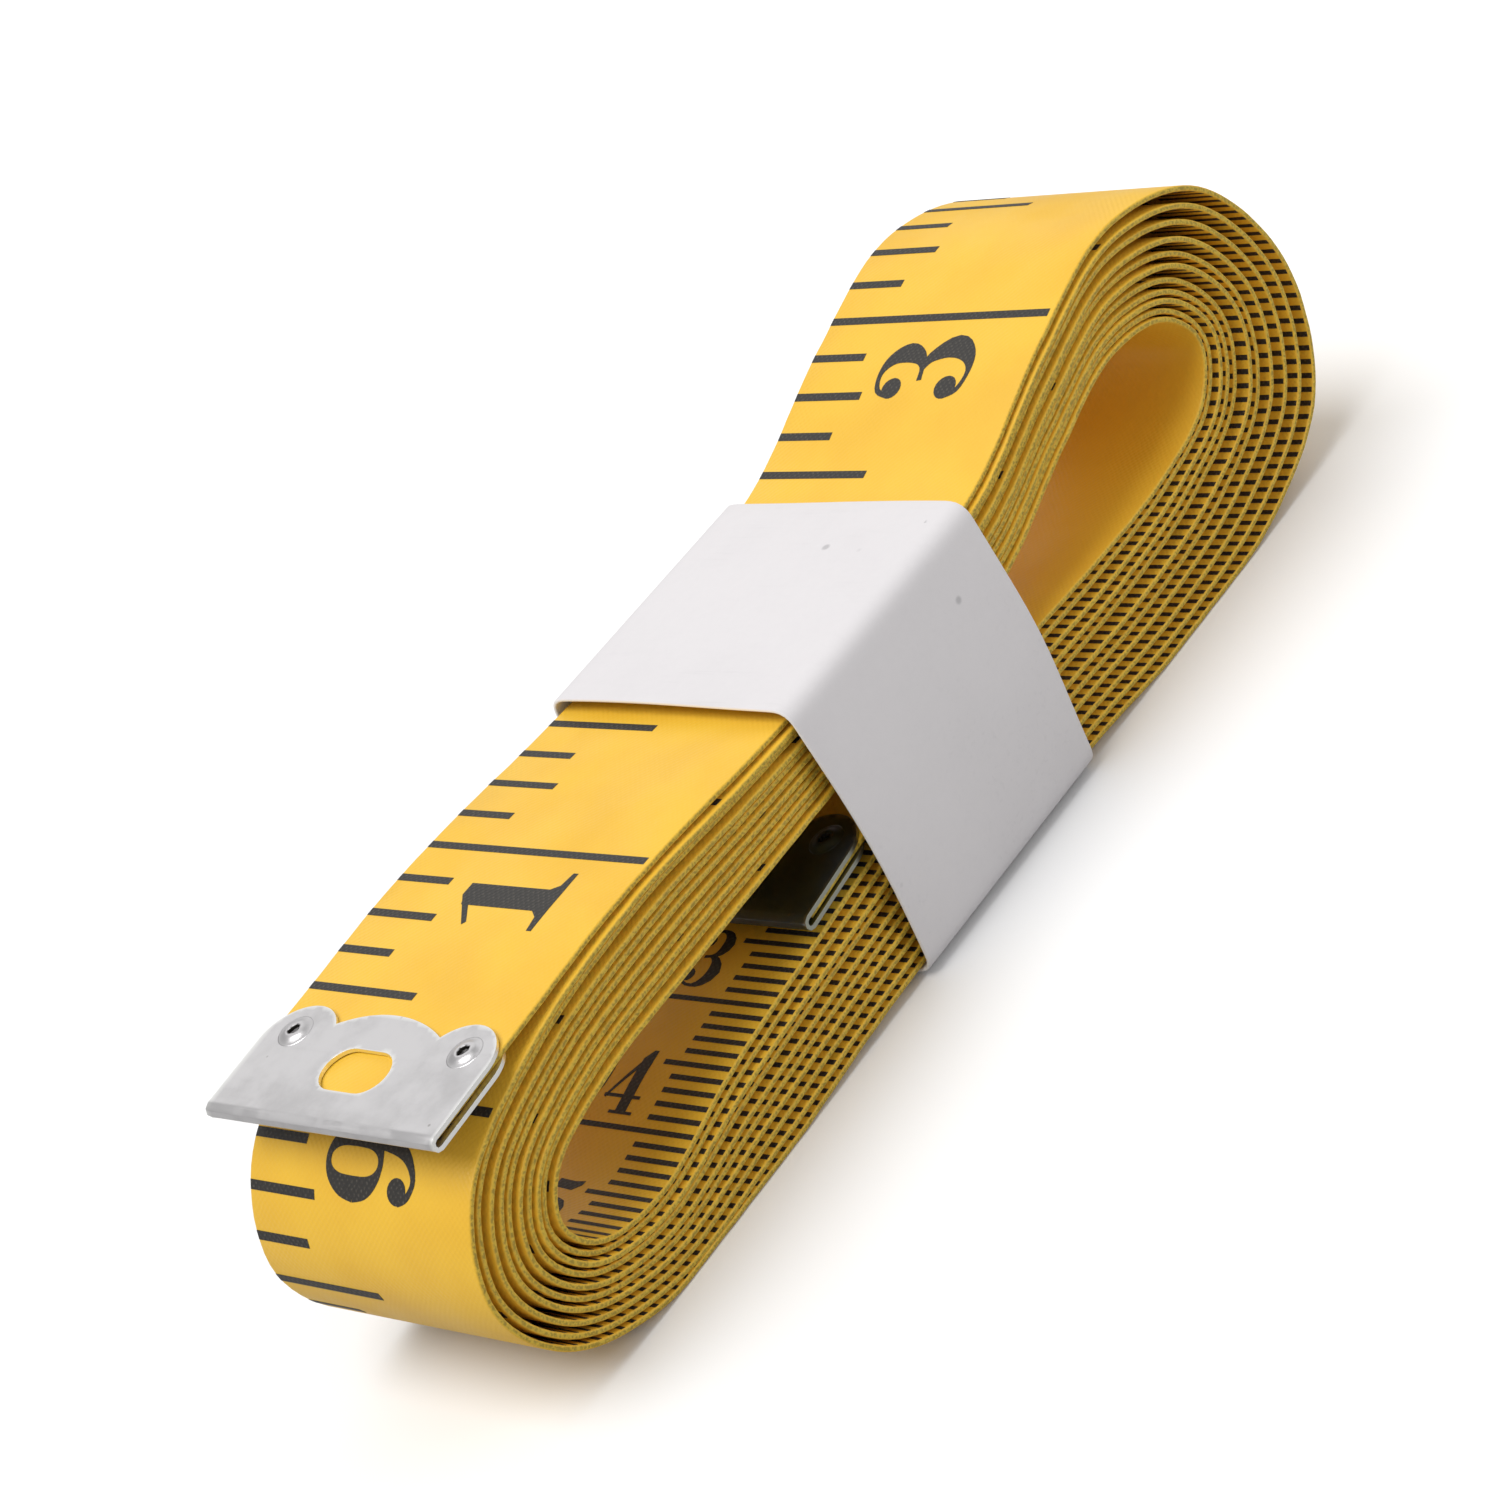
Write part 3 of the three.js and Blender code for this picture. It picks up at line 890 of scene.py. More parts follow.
@dataclass(frozen=True)
class Stroke:
    """One pen stroke of a digit, given as rows of x, y and width on a digit one unit high."""

    rows: tuple[tuple[float, float, float], ...]

    def outline(self, fineness: int) -> list[tuple[float, float]]:
        """The stroke's outline, with `fineness` points for each row."""
        rows = np.array(self.rows)
        fine = []
        for index in range(len(rows) - 1):
            before, after = max(index - 1, 0), min(index + 2, len(rows) - 1)
            quad = [rows[before], rows[index], rows[index + 1], rows[after]]
            for t in np.linspace(0.0, 1.0, fineness + 1)[:-1]:
                pull_in = (quad[2] - quad[0]) / 2
                pull_out = (quad[3] - quad[1]) / 2
                fine.append(
                    (2 * t**3 - 3 * t**2 + 1) * quad[1]
                    + (t**3 - 2 * t**2 + t) * pull_in
                    + (3 * t**2 - 2 * t**3) * quad[2]
                    + (t**3 - t**2) * pull_out
                )
        fine.append(rows[-1])
        line = np.array(fine)
        along = np.gradient(line[:, :2], axis=0)
        along = along / np.linalg.norm(along, axis=1)[:, None]
        normal = np.stack([-along[:, 1], along[:, 0]], axis=1) * line[:, 2:3] / 2
        left = line[:, :2] + normal
        right = line[:, :2] - normal
        return [tuple(point) for point in np.vstack([left, right[::-1]])]


@dataclass(frozen=True)
class Ball:
    """The round end of a stroke."""

    x: float
    y: float
    radius: float

    def outline(self, fineness: int) -> list[tuple[float, float]]:
        """The ball's outline, with more points the greater `fineness` is."""
        angles = np.linspace(0.0, 2 * math.pi, 4 + 4 * fineness)[:-1]
        return [(self.x + self.radius * math.cos(a), self.y + self.radius * math.sin(a)) for a in angles]


@dataclass(frozen=True)
class Block:
    """A straight-sided part of a digit."""

    corners: tuple[tuple[float, float], ...]

    def outline(self, fineness: int) -> list[tuple[float, float]]:
        """The block's outline, which is the same at any `fineness`."""
        return list(self.corners)


def anticlockwise(loop: list[tuple[float, float]]) -> list[tuple[float, float]]:
    """Turns an outline round where it runs clockwise."""
    x, y = np.array(loop).T
    return loop if float(np.sum(x * np.roll(y, -1) - y * np.roll(x, -1))) > 0 else loop[::-1]


def ring(x: float, y: float, reach_x: float, reach_y: float, thick: float, thin: float) -> list[Stroke]:
    """A bowl: an oval drawn with a pen that is thick on its upright strokes.

    Args:
        x: The oval's centre.
        y: The oval's centre.
        reach_x: Half its width, to the middle of the stroke.
        reach_y: Half its height, to the middle of the stroke.
        thick: The stroke's width at the sides.
        thin: The stroke's width at the top and bottom.

    Returns:
        Its two halves.
    """
    halves = []
    for start in (0.0, math.pi):
        angles = np.linspace(start - 0.02, start + math.pi + 0.02, 8)
        rows = []
        for angle in angles:
            width = thin + (thick - thin) * math.cos(angle) ** 2
            rows.append((x + reach_x * math.cos(angle), y + reach_y * math.sin(angle), width))
        halves.append(Stroke(tuple(rows)))
    return halves


HAIR = 0.05
DIGITS: dict[int, list[Stroke | Ball | Block]] = {
    0: ring(0.31, 0.5, 0.215, 0.472, 0.19, HAIR),
    1: [
        Block(((0.2, 0.05), (0.43, 0.05), (0.43, 1.0), (0.34, 1.0), (0.2, 0.93))),
        Block(((0.0, 0.76), (0.03, 0.73), (0.21, 0.86), (0.36, 1.0), (0.3, 1.0))),
        Block(((0.0, 0.0), (0.62, 0.0), (0.62, 0.05), (0.48, 0.075), (0.43, 0.15))
              + ((0.2, 0.15), (0.14, 0.075), (0.0, 0.05))),
    ],
    2: [
        Stroke(((0.06, 0.73, HAIR), (0.08, 0.87, HAIR), (0.26, 0.975, HAIR), (0.44, 0.9, 0.14))
               + ((0.5, 0.74, 0.2), (0.42, 0.55, 0.15), (0.24, 0.32, 0.08), (0.06, 0.05, HAIR))),
        Ball(0.135, 0.73, 0.1),
        Block(((0.03, 0.0), (0.6, 0.0), (0.645, 0.3), (0.6, 0.3), (0.54, 0.18), (0.4, 0.16))
              + ((0.24, 0.19), (0.13, 0.14), (0.05, 0.06))),
    ],
    3: [
        Stroke(((0.045, 0.79, HAIR), (0.1, 0.93, HAIR), (0.26, 0.975, HAIR), (0.4, 0.91, 0.13))
               + ((0.47, 0.77, 0.2), (0.42, 0.62, 0.14), (0.32, 0.545, HAIR), (0.19, 0.52, HAIR))),
        Stroke(((0.3, 0.54, HAIR), (0.42, 0.48, 0.12), (0.52, 0.28, 0.23), (0.43, 0.1, 0.15))
               + ((0.27, 0.025, HAIR), (0.09, 0.07, HAIR), (0.03, 0.2, HAIR))),
        Ball(0.12, 0.79, 0.1),
        Ball(0.115, 0.2, 0.11),
    ],
    4: [
        Block(((0.33, 0.04), (0.52, 0.04), (0.52, 1.0), (0.45, 1.0), (0.33, 0.86))),
        Block(((0.0, 0.24), (0.03, 0.22), (0.5, 0.93), (0.45, 1.0))),
        Block(((0.0, 0.24), (0.65, 0.24), (0.65, 0.29), (0.0, 0.29))),
        Block(((0.22, 0.0), (0.64, 0.0), (0.64, 0.045), (0.22, 0.045))),
    ],
    5: [
        Block(((0.09, 1.0), (0.14, 0.84), (0.42, 0.82), (0.53, 0.93), (0.54, 1.01), (0.38, 0.985))),
        Block(((0.075, 0.5), (0.12, 0.5), (0.14, 1.0), (0.09, 1.0))),
        Stroke(((0.1, 0.51, HAIR), (0.24, 0.61, 0.06), (0.42, 0.56, 0.14), (0.5, 0.35, 0.22))
               + ((0.43, 0.12, 0.15), (0.27, 0.025, HAIR), (0.1, 0.07, HAIR), (0.03, 0.2, HAIR))),
        Ball(0.115, 0.2, 0.105),
    ],
    6: [
        *ring(0.33, 0.32, 0.2, 0.285, 0.19, HAIR),
        Stroke(((0.13, 0.33, 0.19), (0.14, 0.6, 0.17), (0.24, 0.86, 0.09), (0.4, 0.975, HAIR))
               + ((0.53, 0.92, HAIR), (0.58, 0.82, HAIR))),
        Ball(0.5, 0.81, 0.1),
    ],
    7: [
        Block(((0.0, 0.68), (0.045, 0.68), (0.1, 0.82), (0.3, 0.86), (0.45, 0.8), (0.6, 0.93))
              + ((0.6, 1.0), (0.3, 0.975), (0.1, 1.0), (0.03, 1.0))),
        Stroke(((0.58, 0.96, HAIR), (0.42, 0.66, 0.08), (0.32, 0.36, 0.16), (0.3, 0.02, 0.21))),
    ],
    8: [
        *ring(0.31, 0.755, 0.175, 0.22, 0.17, HAIR),
        *ring(0.31, 0.27, 0.215, 0.245, 0.19, HAIR),
    ],
    9: [
        *ring(0.29, 0.68, 0.2, 0.285, 0.19, HAIR),
        Stroke(((0.49, 0.67, 0.19), (0.48, 0.4, 0.17), (0.38, 0.14, 0.09), (0.22, 0.025, HAIR))
               + ((0.09, 0.08, HAIR), (0.04, 0.18, HAIR))),
        Ball(0.12, 0.19, 0.1),
    ],
}


@dataclass
class DigitType:
    """The ten digits as thin solid shapes one unit high and one unit thick.

    Attributes:
        name: What its collection is called.
        fineness: How many points each row of a stroke gets.
        slices: How many slices a digit's height and width are cut into, so that it bends with the tape.
        gap: The space between two digits.
    """

    name: str
    fineness: int
    slices: tuple[int, int]
    gap: float = 0.07
    widths: list[float] = field(default_factory=list)
    collection: bpy.types.Collection = field(init=False)

    def __post_init__(self) -> None:
        """Cuts the ten digits and keeps them in a collection that isn't shown."""
        self.collection = bpy.data.collections.new(self.name)
        for value in range(10):
            mesh = self._cut(value)
            self.widths.append(float(read_points(mesh)[:, 0].max()))
            self.collection.objects.link(bpy.data.objects.new(f"{self.name}_{value}", mesh))

    def _cut(self, value: int) -> bpy.types.Mesh:
        """Joins one digit's strokes and gives the shape its thickness.

        Args:
            value: The digit.

        Returns:
            Its mesh.
        """
        loops = [anticlockwise(part.outline(self.fineness)) for part in DIGITS[value]]
        points = [Vector(point) for loop in loops for point in loop]
        starts = np.cumsum([0] + [len(loop) for loop in loops])
        rings = [list(range(starts[i], starts[i + 1])) for i in range(len(loops))]
        made, _, faces, _, _, sources = delaunay_2d_cdt(points, [], rings, 0, 1e-4)
        kept = [face for face, source in zip(faces, sources) if source]
        work = bmesh.new()
        verts = [work.verts.new((point.x, point.y, 0.0)) for point in made]
        for face in kept:
            work.faces.new([verts[index] for index in face])
        loose = [vert for vert in work.verts if not vert.link_faces]
        bmesh.ops.delete(work, geom=loose, context="VERTS")
        for axis, count in zip(((0, 1, 0), (1, 0, 0)), self.slices):
            for index in range(1, count):
                place = Vector(axis) * index / count
                geometry = work.verts[:] + work.edges[:] + work.faces[:]
                bmesh.ops.bisect_plane(work, geom=geometry, plane_co=place, plane_no=Vector(axis), dist=1e-5)
        bmesh.ops.recalc_face_normals(work, faces=work.faces)
        if sum(face.normal.z for face in work.faces) < 0:
            bmesh.ops.reverse_faces(work, faces=work.faces)
        self._thicken(work)
        mesh = bpy.data.meshes.new(f"digit_{value}")
        work.to_mesh(mesh)
        work.free()
        return mesh

    @staticmethod
    def _thicken(work: bmesh.types.BMesh) -> None:
        """Turns a flat shape into a slab one unit thick about its plane."""
        lower = bmesh.ops.duplicate(work, geom=work.verts[:] + work.edges[:] + work.faces[:])
        pairs = lower["vert_map"]
        rims = [
            edge for edge in work.edges
            if edge.is_boundary and edge.verts[0] in pairs and edge.verts[1] in pairs
        ]
        under_faces = [part for part in lower["geom"] if isinstance(part, bmesh.types.BMFace)]
        under_verts = {part for part in lower["geom"] if isinstance(part, bmesh.types.BMVert)}
        rims = [edge for edge in rims if edge.verts[0] not in under_verts]
        for vert in work.verts:
            vert.co.z = -0.5 if vert in under_verts else 0.5
        bmesh.ops.reverse_faces(work, faces=under_faces)
        for edge in rims:
            first, second = edge.verts
            work.faces.new((second, first, pairs[first], pairs[second]))
        bmesh.ops.recalc_face_normals(work, faces=work.faces)


# ---------------------------------------------------------------- print


class Face(Enum):
    """The two printed faces of the tape: the sign of the height at which each lies."""

    OUTER = 1
    INNER = -1


def scale_marks_tree() -> bpy.types.NodeTree:
    """Geometry Nodes that lay out a row of scale marks on the flat tape.

    Returns:
        The node tree. Each mark is a thin bar that starts at one edge of the tape. Its length depends on
        its number.
    """
    nodes, given, result = new_group(
        "scale_marks",
        "GeometryNodeTree",
        [
            ("Geometry", "NodeSocketGeometry", None),
            ("Marks", "NodeSocketInt", 10),
            ("First Number", "NodeSocketInt", 1),
            ("Zero", "NodeSocketFloat", 0.0),
            ("Spacing", "NodeSocketFloat", 1.0),
            ("Edge", "NodeSocketFloat", 10.0),
            ("Inwards", "NodeSocketFloat", -1.0),
            ("Line", "NodeSocketFloat", 0.5),
            ("Short", "NodeSocketFloat", 5.0),
            ("Medium", "NodeSocketFloat", 6.0),
            ("Long", "NodeSocketFloat", 10.0),
            ("Full", "NodeSocketFloat", 20.0),
            ("Medium Every", "NodeSocketFloat", 2.0),
            ("Long Every", "NodeSocketFloat", 4.0),
            ("Full Every", "NodeSocketFloat", 8.0),
            ("Height", "NodeSocketFloat", 0.2),
            ("Ink Depth", "NodeSocketFloat", 0.02),
            ("Ink", "NodeSocketMaterial", None),
        ],
        [("Geometry", "NodeSocketGeometry")],
    )
    value = given.outputs
    number = nodes.maths("ADD", nodes.add("GeometryNodeInputIndex").outputs[0], value["First Number"])
    length = value["Short"]
    for name in ("Medium", "Long", "Full"):
        left = nodes.maths("FLOORED_MODULO", number, value[f"{name} Every"])
        hit = nodes.maths("LESS_THAN", left, 0.5)
        share = nodes.add("ShaderNodeMix", {"data_type": "FLOAT"}, in_0=hit, in_2=length, in_3=value[name])
        length = share.outputs[0]
    along = nodes.maths("ADD", nodes.maths("MULTIPLY", number, value["Spacing"]), value["Zero"])
    middle = nodes.maths("MULTIPLY", nodes.maths("MULTIPLY", length, 0.5), value["Inwards"])
    across = nodes.maths("ADD", value["Edge"], middle)
    place = nodes.add("ShaderNodeCombineXYZ", X=along, Y=across, Z=value["Height"]).outputs[0]
    row = nodes.add("GeometryNodeMeshLine", None, Count=value["Marks"])
    points = nodes.add("GeometryNodeSetPosition", None, Geometry=row.outputs[0], Position=place)
    bar = nodes.add("GeometryNodeMeshCube", None, Size=(1.0, 1.0, 1.0))
    size = nodes.add("ShaderNodeCombineXYZ", X=value["Line"], Y=length, Z=value["Ink Depth"]).outputs[0]
    bars = nodes.add(
        "GeometryNodeInstanceOnPoints", None, Points=points.outputs[0], Instance=bar.outputs[0], Scale=size
    )
    solid = nodes.add("GeometryNodeRealizeInstances", None, Geometry=bars.outputs[0])
    inked = nodes.add("GeometryNodeSetMaterial", None, Geometry=solid.outputs[0], Material=value["Ink"])
    nodes.feed(result, "Geometry", inked.outputs[0])
    return nodes.tree


def scale_numbers_tree() -> bpy.types.NodeTree:
    """Geometry Nodes that set a digit on each point of the flat tape.

    Returns:
        The node tree. The points carry an integer attribute named `digit`.
    """
    nodes, given, result = new_group(
        "scale_numbers",
        "GeometryNodeTree",
        [
            ("Geometry", "NodeSocketGeometry", None),
            ("Digits", "NodeSocketCollection", None),
            ("Turn", "NodeSocketVector", None),
            ("Digit Height", "NodeSocketFloat", 8.0),
            ("Ink Depth", "NodeSocketFloat", 0.02),
            ("Ink", "NodeSocketMaterial", None),
        ],
        [("Geometry", "NodeSocketGeometry")],
    )
    value = given.outputs
    chosen = nodes.add("GeometryNodeInputNamedAttribute", {"data_type": "INT"}, Name="digit")
    tall = value["Digit Height"]
    size = nodes.add("ShaderNodeCombineXYZ", X=tall, Y=tall, Z=value["Ink Depth"]).outputs[0]
    source = nodes.add("GeometryNodeCollectionInfo", None, Collection=value["Digits"])
    source.inputs["Separate Children"].default_value = True
    source.inputs["Reset Children"].default_value = True
    placed = nodes.add(
        "GeometryNodeInstanceOnPoints",
        None,
        Points=value["Geometry"],
        Instance=source.outputs[0],
        Instance_Index=chosen.outputs["Attribute"],
        Rotation=value["Turn"],
        Scale=size,
    )
    placed.inputs["Pick Instance"].default_value = True
    solid = nodes.add("GeometryNodeRealizeInstances", None, Geometry=placed.outputs[0])
    inked = nodes.add("GeometryNodeSetMaterial", None, Geometry=solid.outputs[0], Material=value["Ink"])
    nodes.feed(result, "Geometry", inked.outputs[0])
    return nodes.tree


def grow(name: str, tree: bpy.types.NodeTree, seed: bpy.types.Mesh, **inputs: object) -> bpy.types.Mesh:
    """Runs a geometry node tree on a mesh and keeps the result as a plain mesh.

    Args:
        name: The new mesh's name.
        tree: The node tree.
        seed: The mesh that it starts from.
        **inputs: Its inputs, with underscores for spaces.

    Returns:
        The plain mesh.
    """
    holder = new_object(f"{name}_seed", seed)
    modifier = holder.modifiers.new(name, "NODES")
    modifier.node_group = tree
    sockets = {item.name: item.identifier for item in tree.interface.items_tree if item.in_out == "INPUT"}
    for label, value in inputs.items():
        modifier[sockets[label.replace("_", " ")]] = value
    depsgraph = bpy.context.evaluated_depsgraph_get()
    mesh = bpy.data.meshes.new_from_object(holder.evaluated_get(depsgraph), depsgraph=depsgraph)
    mesh.name = name
    bpy.data.objects.remove(holder)
    return mesh


@dataclass(frozen=True)
class ScaleLayout:
    """How one face of the tape is printed. Lengths are in millimetres.

    Attributes:
        face: Which face it is.
        unit: The length that each number stands for.
        parts: How many marks each unit has.
        numbers: The last number.
        edge: The edge that the marks start from.
        lengths: Lengths of the short, medium, long and full marks.
        every: Which marks are medium, long and full.
        line: The marks' thickness.
        digit_height: The digits' height.
        turn: How a digit is turned on the flat tape.
        base: Where the numbers' last digit ends, before its mark and across the tape.
    """

    face: Face
    unit: float
    parts: int
    numbers: int
    edge: float
    lengths: tuple[float, float, float, float]
    every: tuple[float, float, float]
    line: float
    digit_height: float
    turn: tuple[float, float, float]
    base: tuple[float, float]


INCH_SCALE = ScaleLayout(
    face=Face.OUTER,
    unit=25.4,
    parts=8,
    numbers=79,
    edge=9.9,
    lengths=(4.8, 6.0, 9.6, 19.5),
    every=(2.0, 4.0, 8.0),
    line=0.62,
    digit_height=8.2,
    turn=(0.0, 0.0, 0.0),
    base=(1.6, -5.1),
)
MILLIMETRE_SCALE = ScaleLayout(
    face=Face.INNER,
    unit=10.0,
    parts=10,
    numbers=200,
    edge=-9.9,
    lengths=(4.5, 4.5, 5.7, 16.4),
    every=(5.0, 5.0, 10.0),
    line=0.38,
    digit_height=4.8,
    turn=(math.pi, 0.0, -math.pi / 2),
    base=(0.9, -3.9),
)


@dataclass
class Printer:
    """Prints the scales on the flat tape and winds them with it.

    Attributes:
        tape: The wound tape.
        ink: The ink's material.
        zero: Where both scales start, measured from the tape's outer cut end.
        seam: Where the loose end's print stops and the coil's starts, measured from the scales' zero.
        large: The digits of the inch scale.
        small: The digits of the millimetre scale.
        ink_depth: The print's thickness.
    """

    tape: WoundTape
    ink: bpy.types.Material
    zero: float = -2.9
    seam: float = 42.5
    ink_depth: float = 0.03
    large: DigitType = field(default_factory=lambda: DigitType("inch_digits", 4, (1, 10)))
    small: DigitType = field(default_factory=lambda: DigitType("metric_digits", 2, (5, 1)))
    marks_tree: bpy.types.NodeTree = field(default_factory=scale_marks_tree)
    numbers_tree: bpy.types.NodeTree = field(default_factory=scale_numbers_tree)

    def print_scale(self, name: str, layout: ScaleLayout, loose_end: bool) -> bpy.types.Object:
        """Prints one face of the loose end or of the coil.

        Args:
            name: The piece's name.
            layout: How that face is printed.
            loose_end: Whether it's the loose end's print rather than the coil's.

        Returns:
            The print, wound with the tape.
        """
        marks = self._marks(name, layout, loose_end)
        numbers = self._numbers(name, layout, loose_end)
        work = bmesh.new()
        for mesh in (marks, numbers):
            work.from_mesh(mesh)
        joined = bpy.data.meshes.new(name)
        work.to_mesh(joined)
        work.free()
        flat = read_points(joined)
        write_points(joined, self.tape.wind(flat) * MM)
        corners = np.empty(len(joined.loops), dtype=np.int32)
        joined.loops.foreach_get("vertex_index", corners)
        for layer in list(joined.uv_layers):
            joined.uv_layers.remove(layer)
        layer = joined.uv_layers.new(name="tape_uv")
        layer.data.foreach_set("uv", (flat[corners][:, :2] * 0.1).ravel())
        joined.materials.clear()
        return new_object(name, joined, self.ink)

    def _print_height(self, layout: ScaleLayout) -> float:
        """The height of the print's middle: a third of it is sunk into the coating."""
        return layout.face.value * (self.tape.thickness / 2 + self.ink_depth / 6)

    def _marks(self, name: str, layout: ScaleLayout, loose_end: bool) -> bpy.types.Mesh:
        """Lays out one stretch of marks on the flat tape."""
        spacing = layout.unit / layout.parts
        split = int(self.seam // spacing)
        first = 1 if loose_end else split + 1
        last = split if loose_end else layout.numbers * layout.parts
        seed = bpy.data.meshes.new(f"{name}_row")
        return grow(
            f"{name}_marks",
            self.marks_tree,
            seed,
            Marks=last - first + 1,
            First_Number=first,
            Zero=self.zero,
            Spacing=spacing,
            Edge=layout.edge,
            Inwards=-math.copysign(1.0, layout.edge),
            Line=layout.line,
            Short=layout.lengths[0],
            Medium=layout.lengths[1],
            Long=layout.lengths[2],
            Full=layout.lengths[3],
            Medium_Every=layout.every[0],
            Long_Every=layout.every[1],
            Full_Every=layout.every[2],
            Height=self._print_height(layout),
            Ink_Depth=self.ink_depth,
            Ink=self.ink,
        )

    def _numbers(self, name: str, layout: ScaleLayout, loose_end: bool) -> bpy.types.Mesh:
        """Lays out one stretch of numbers on the flat tape."""
        places: list[tuple[float, float, float]] = []
        values: list[int] = []
        height = self._print_height(layout)
        digits = self.large if layout.face is Face.OUTER else self.small
        for number in range(1, layout.numbers + 1):
            line = number * layout.unit
            if (line < self.seam) != loose_end:
                continue
            reach = 0.0
            for character in reversed(str(number)):
                value = int(character)
                reach += digits.widths[value] * layout.digit_height
                if layout.face is Face.OUTER:
                    place = (self.zero + line - layout.base[0] - reach, layout.base[1], height)
                else:
                    place = (self.zero + line - layout.base[0], layout.base[1] + reach, height)
                places.append(place)
                values.append(value)
                reach += digits.gap * layout.digit_height
        seed = bpy.data.meshes.new(f"{name}_points")
        seed.from_pydata(places, [], [])
        mark = seed.attributes.new("digit", "INT", "POINT")
        mark.data.foreach_set("value", values)
        return grow(
            f"{name}_numbers",
            self.numbers_tree,
            seed,
            Digits=digits.collection,
            Turn=layout.turn,
            Digit_Height=layout.digit_height,
            Ink_Depth=self.ink_depth,
            Ink=self.ink,
        )


# ---------------------------------------------------------------- tape pieces


@dataclass
class TapePieces:
    """The coil, the loose end and their print.

    Attributes:
        tape: The wound tape.
        finishes: The materials.
        joints: The frame's joints, by name.
        edge_rounding: Radius of the tape's cut edges.
        ring_step: The spacing of the rings of points along the tape.
        bend_start: How far outside the lift line a bend of the loose end would start. Not used.
        bend_reach: The length over which it would bend. Not used.
    """

    tape: WoundTape
    finishes: Finishes
    joints: dict[str, dict]
    edge_rounding: float = 0.13
    ring_step: float = 0.8
    bend_start: float = 0.5
    bend_reach: float = 9.0

    def build(self) -> list[bpy.types.Object]:
        """Builds and dresses every piece of the tape."""
        printer = Printer(self.tape, self.finishes.ink)
        seam = printer.zero + printer.seam
        section = StripSection(self.tape.width, self.tape.thickness, self.edge_rounding, columns=6)
        length = self.tape.line.length
        coil = self._strip("wound_tape", section, seam, length)
        loose = self._strip("loose_tape_end", section, 0.0, seam)
        pieces = [coil, loose]
        for strip, body, names, loose_end in (
            (coil, "coil", ("inch_print", "millimetre_print"), False),
            (loose, "free_end", ("inch_print_end", "millimetre_print_end"), True),
        ):
            prints = [
                printer.print_scale(name, layout, loose_end)
                for name, layout in zip(names, (INCH_SCALE, MILLIMETRE_SCALE))
            ]
            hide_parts("tape_free_end" if loose_end else "tape_coil")
            for piece in [strip, *prints]:
                self._attach(piece, body)
            pieces += prints
        return pieces

    def _strip(self, name: str, section: StripSection, start: float, end: float) -> bpy.types.Object:
        """Makes one stretch of the tape.

        Args:
            name: The piece's name.
            section: The cut across the tape.
            start: The length along the tape at which it starts.
            end: The length along the tape at which it ends.

        Returns:
            The piece.
        """
        count = int((end - start) / self.ring_step)
        stations = np.linspace(start, end, count + 1)
        mesh = strip_mesh(name, section, stations, self.tape.wind)
        return new_object(name, mesh, self.finishes.tape)

    def _attach(self, piece: bpy.types.Object, body: str) -> None:
        """Fixes a piece to the coil, or else bakes its place into its mesh."""
        if body == "coil":
            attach(piece, "coil")
            return
        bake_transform(piece)


# ---------------------------------------------------------------- clips


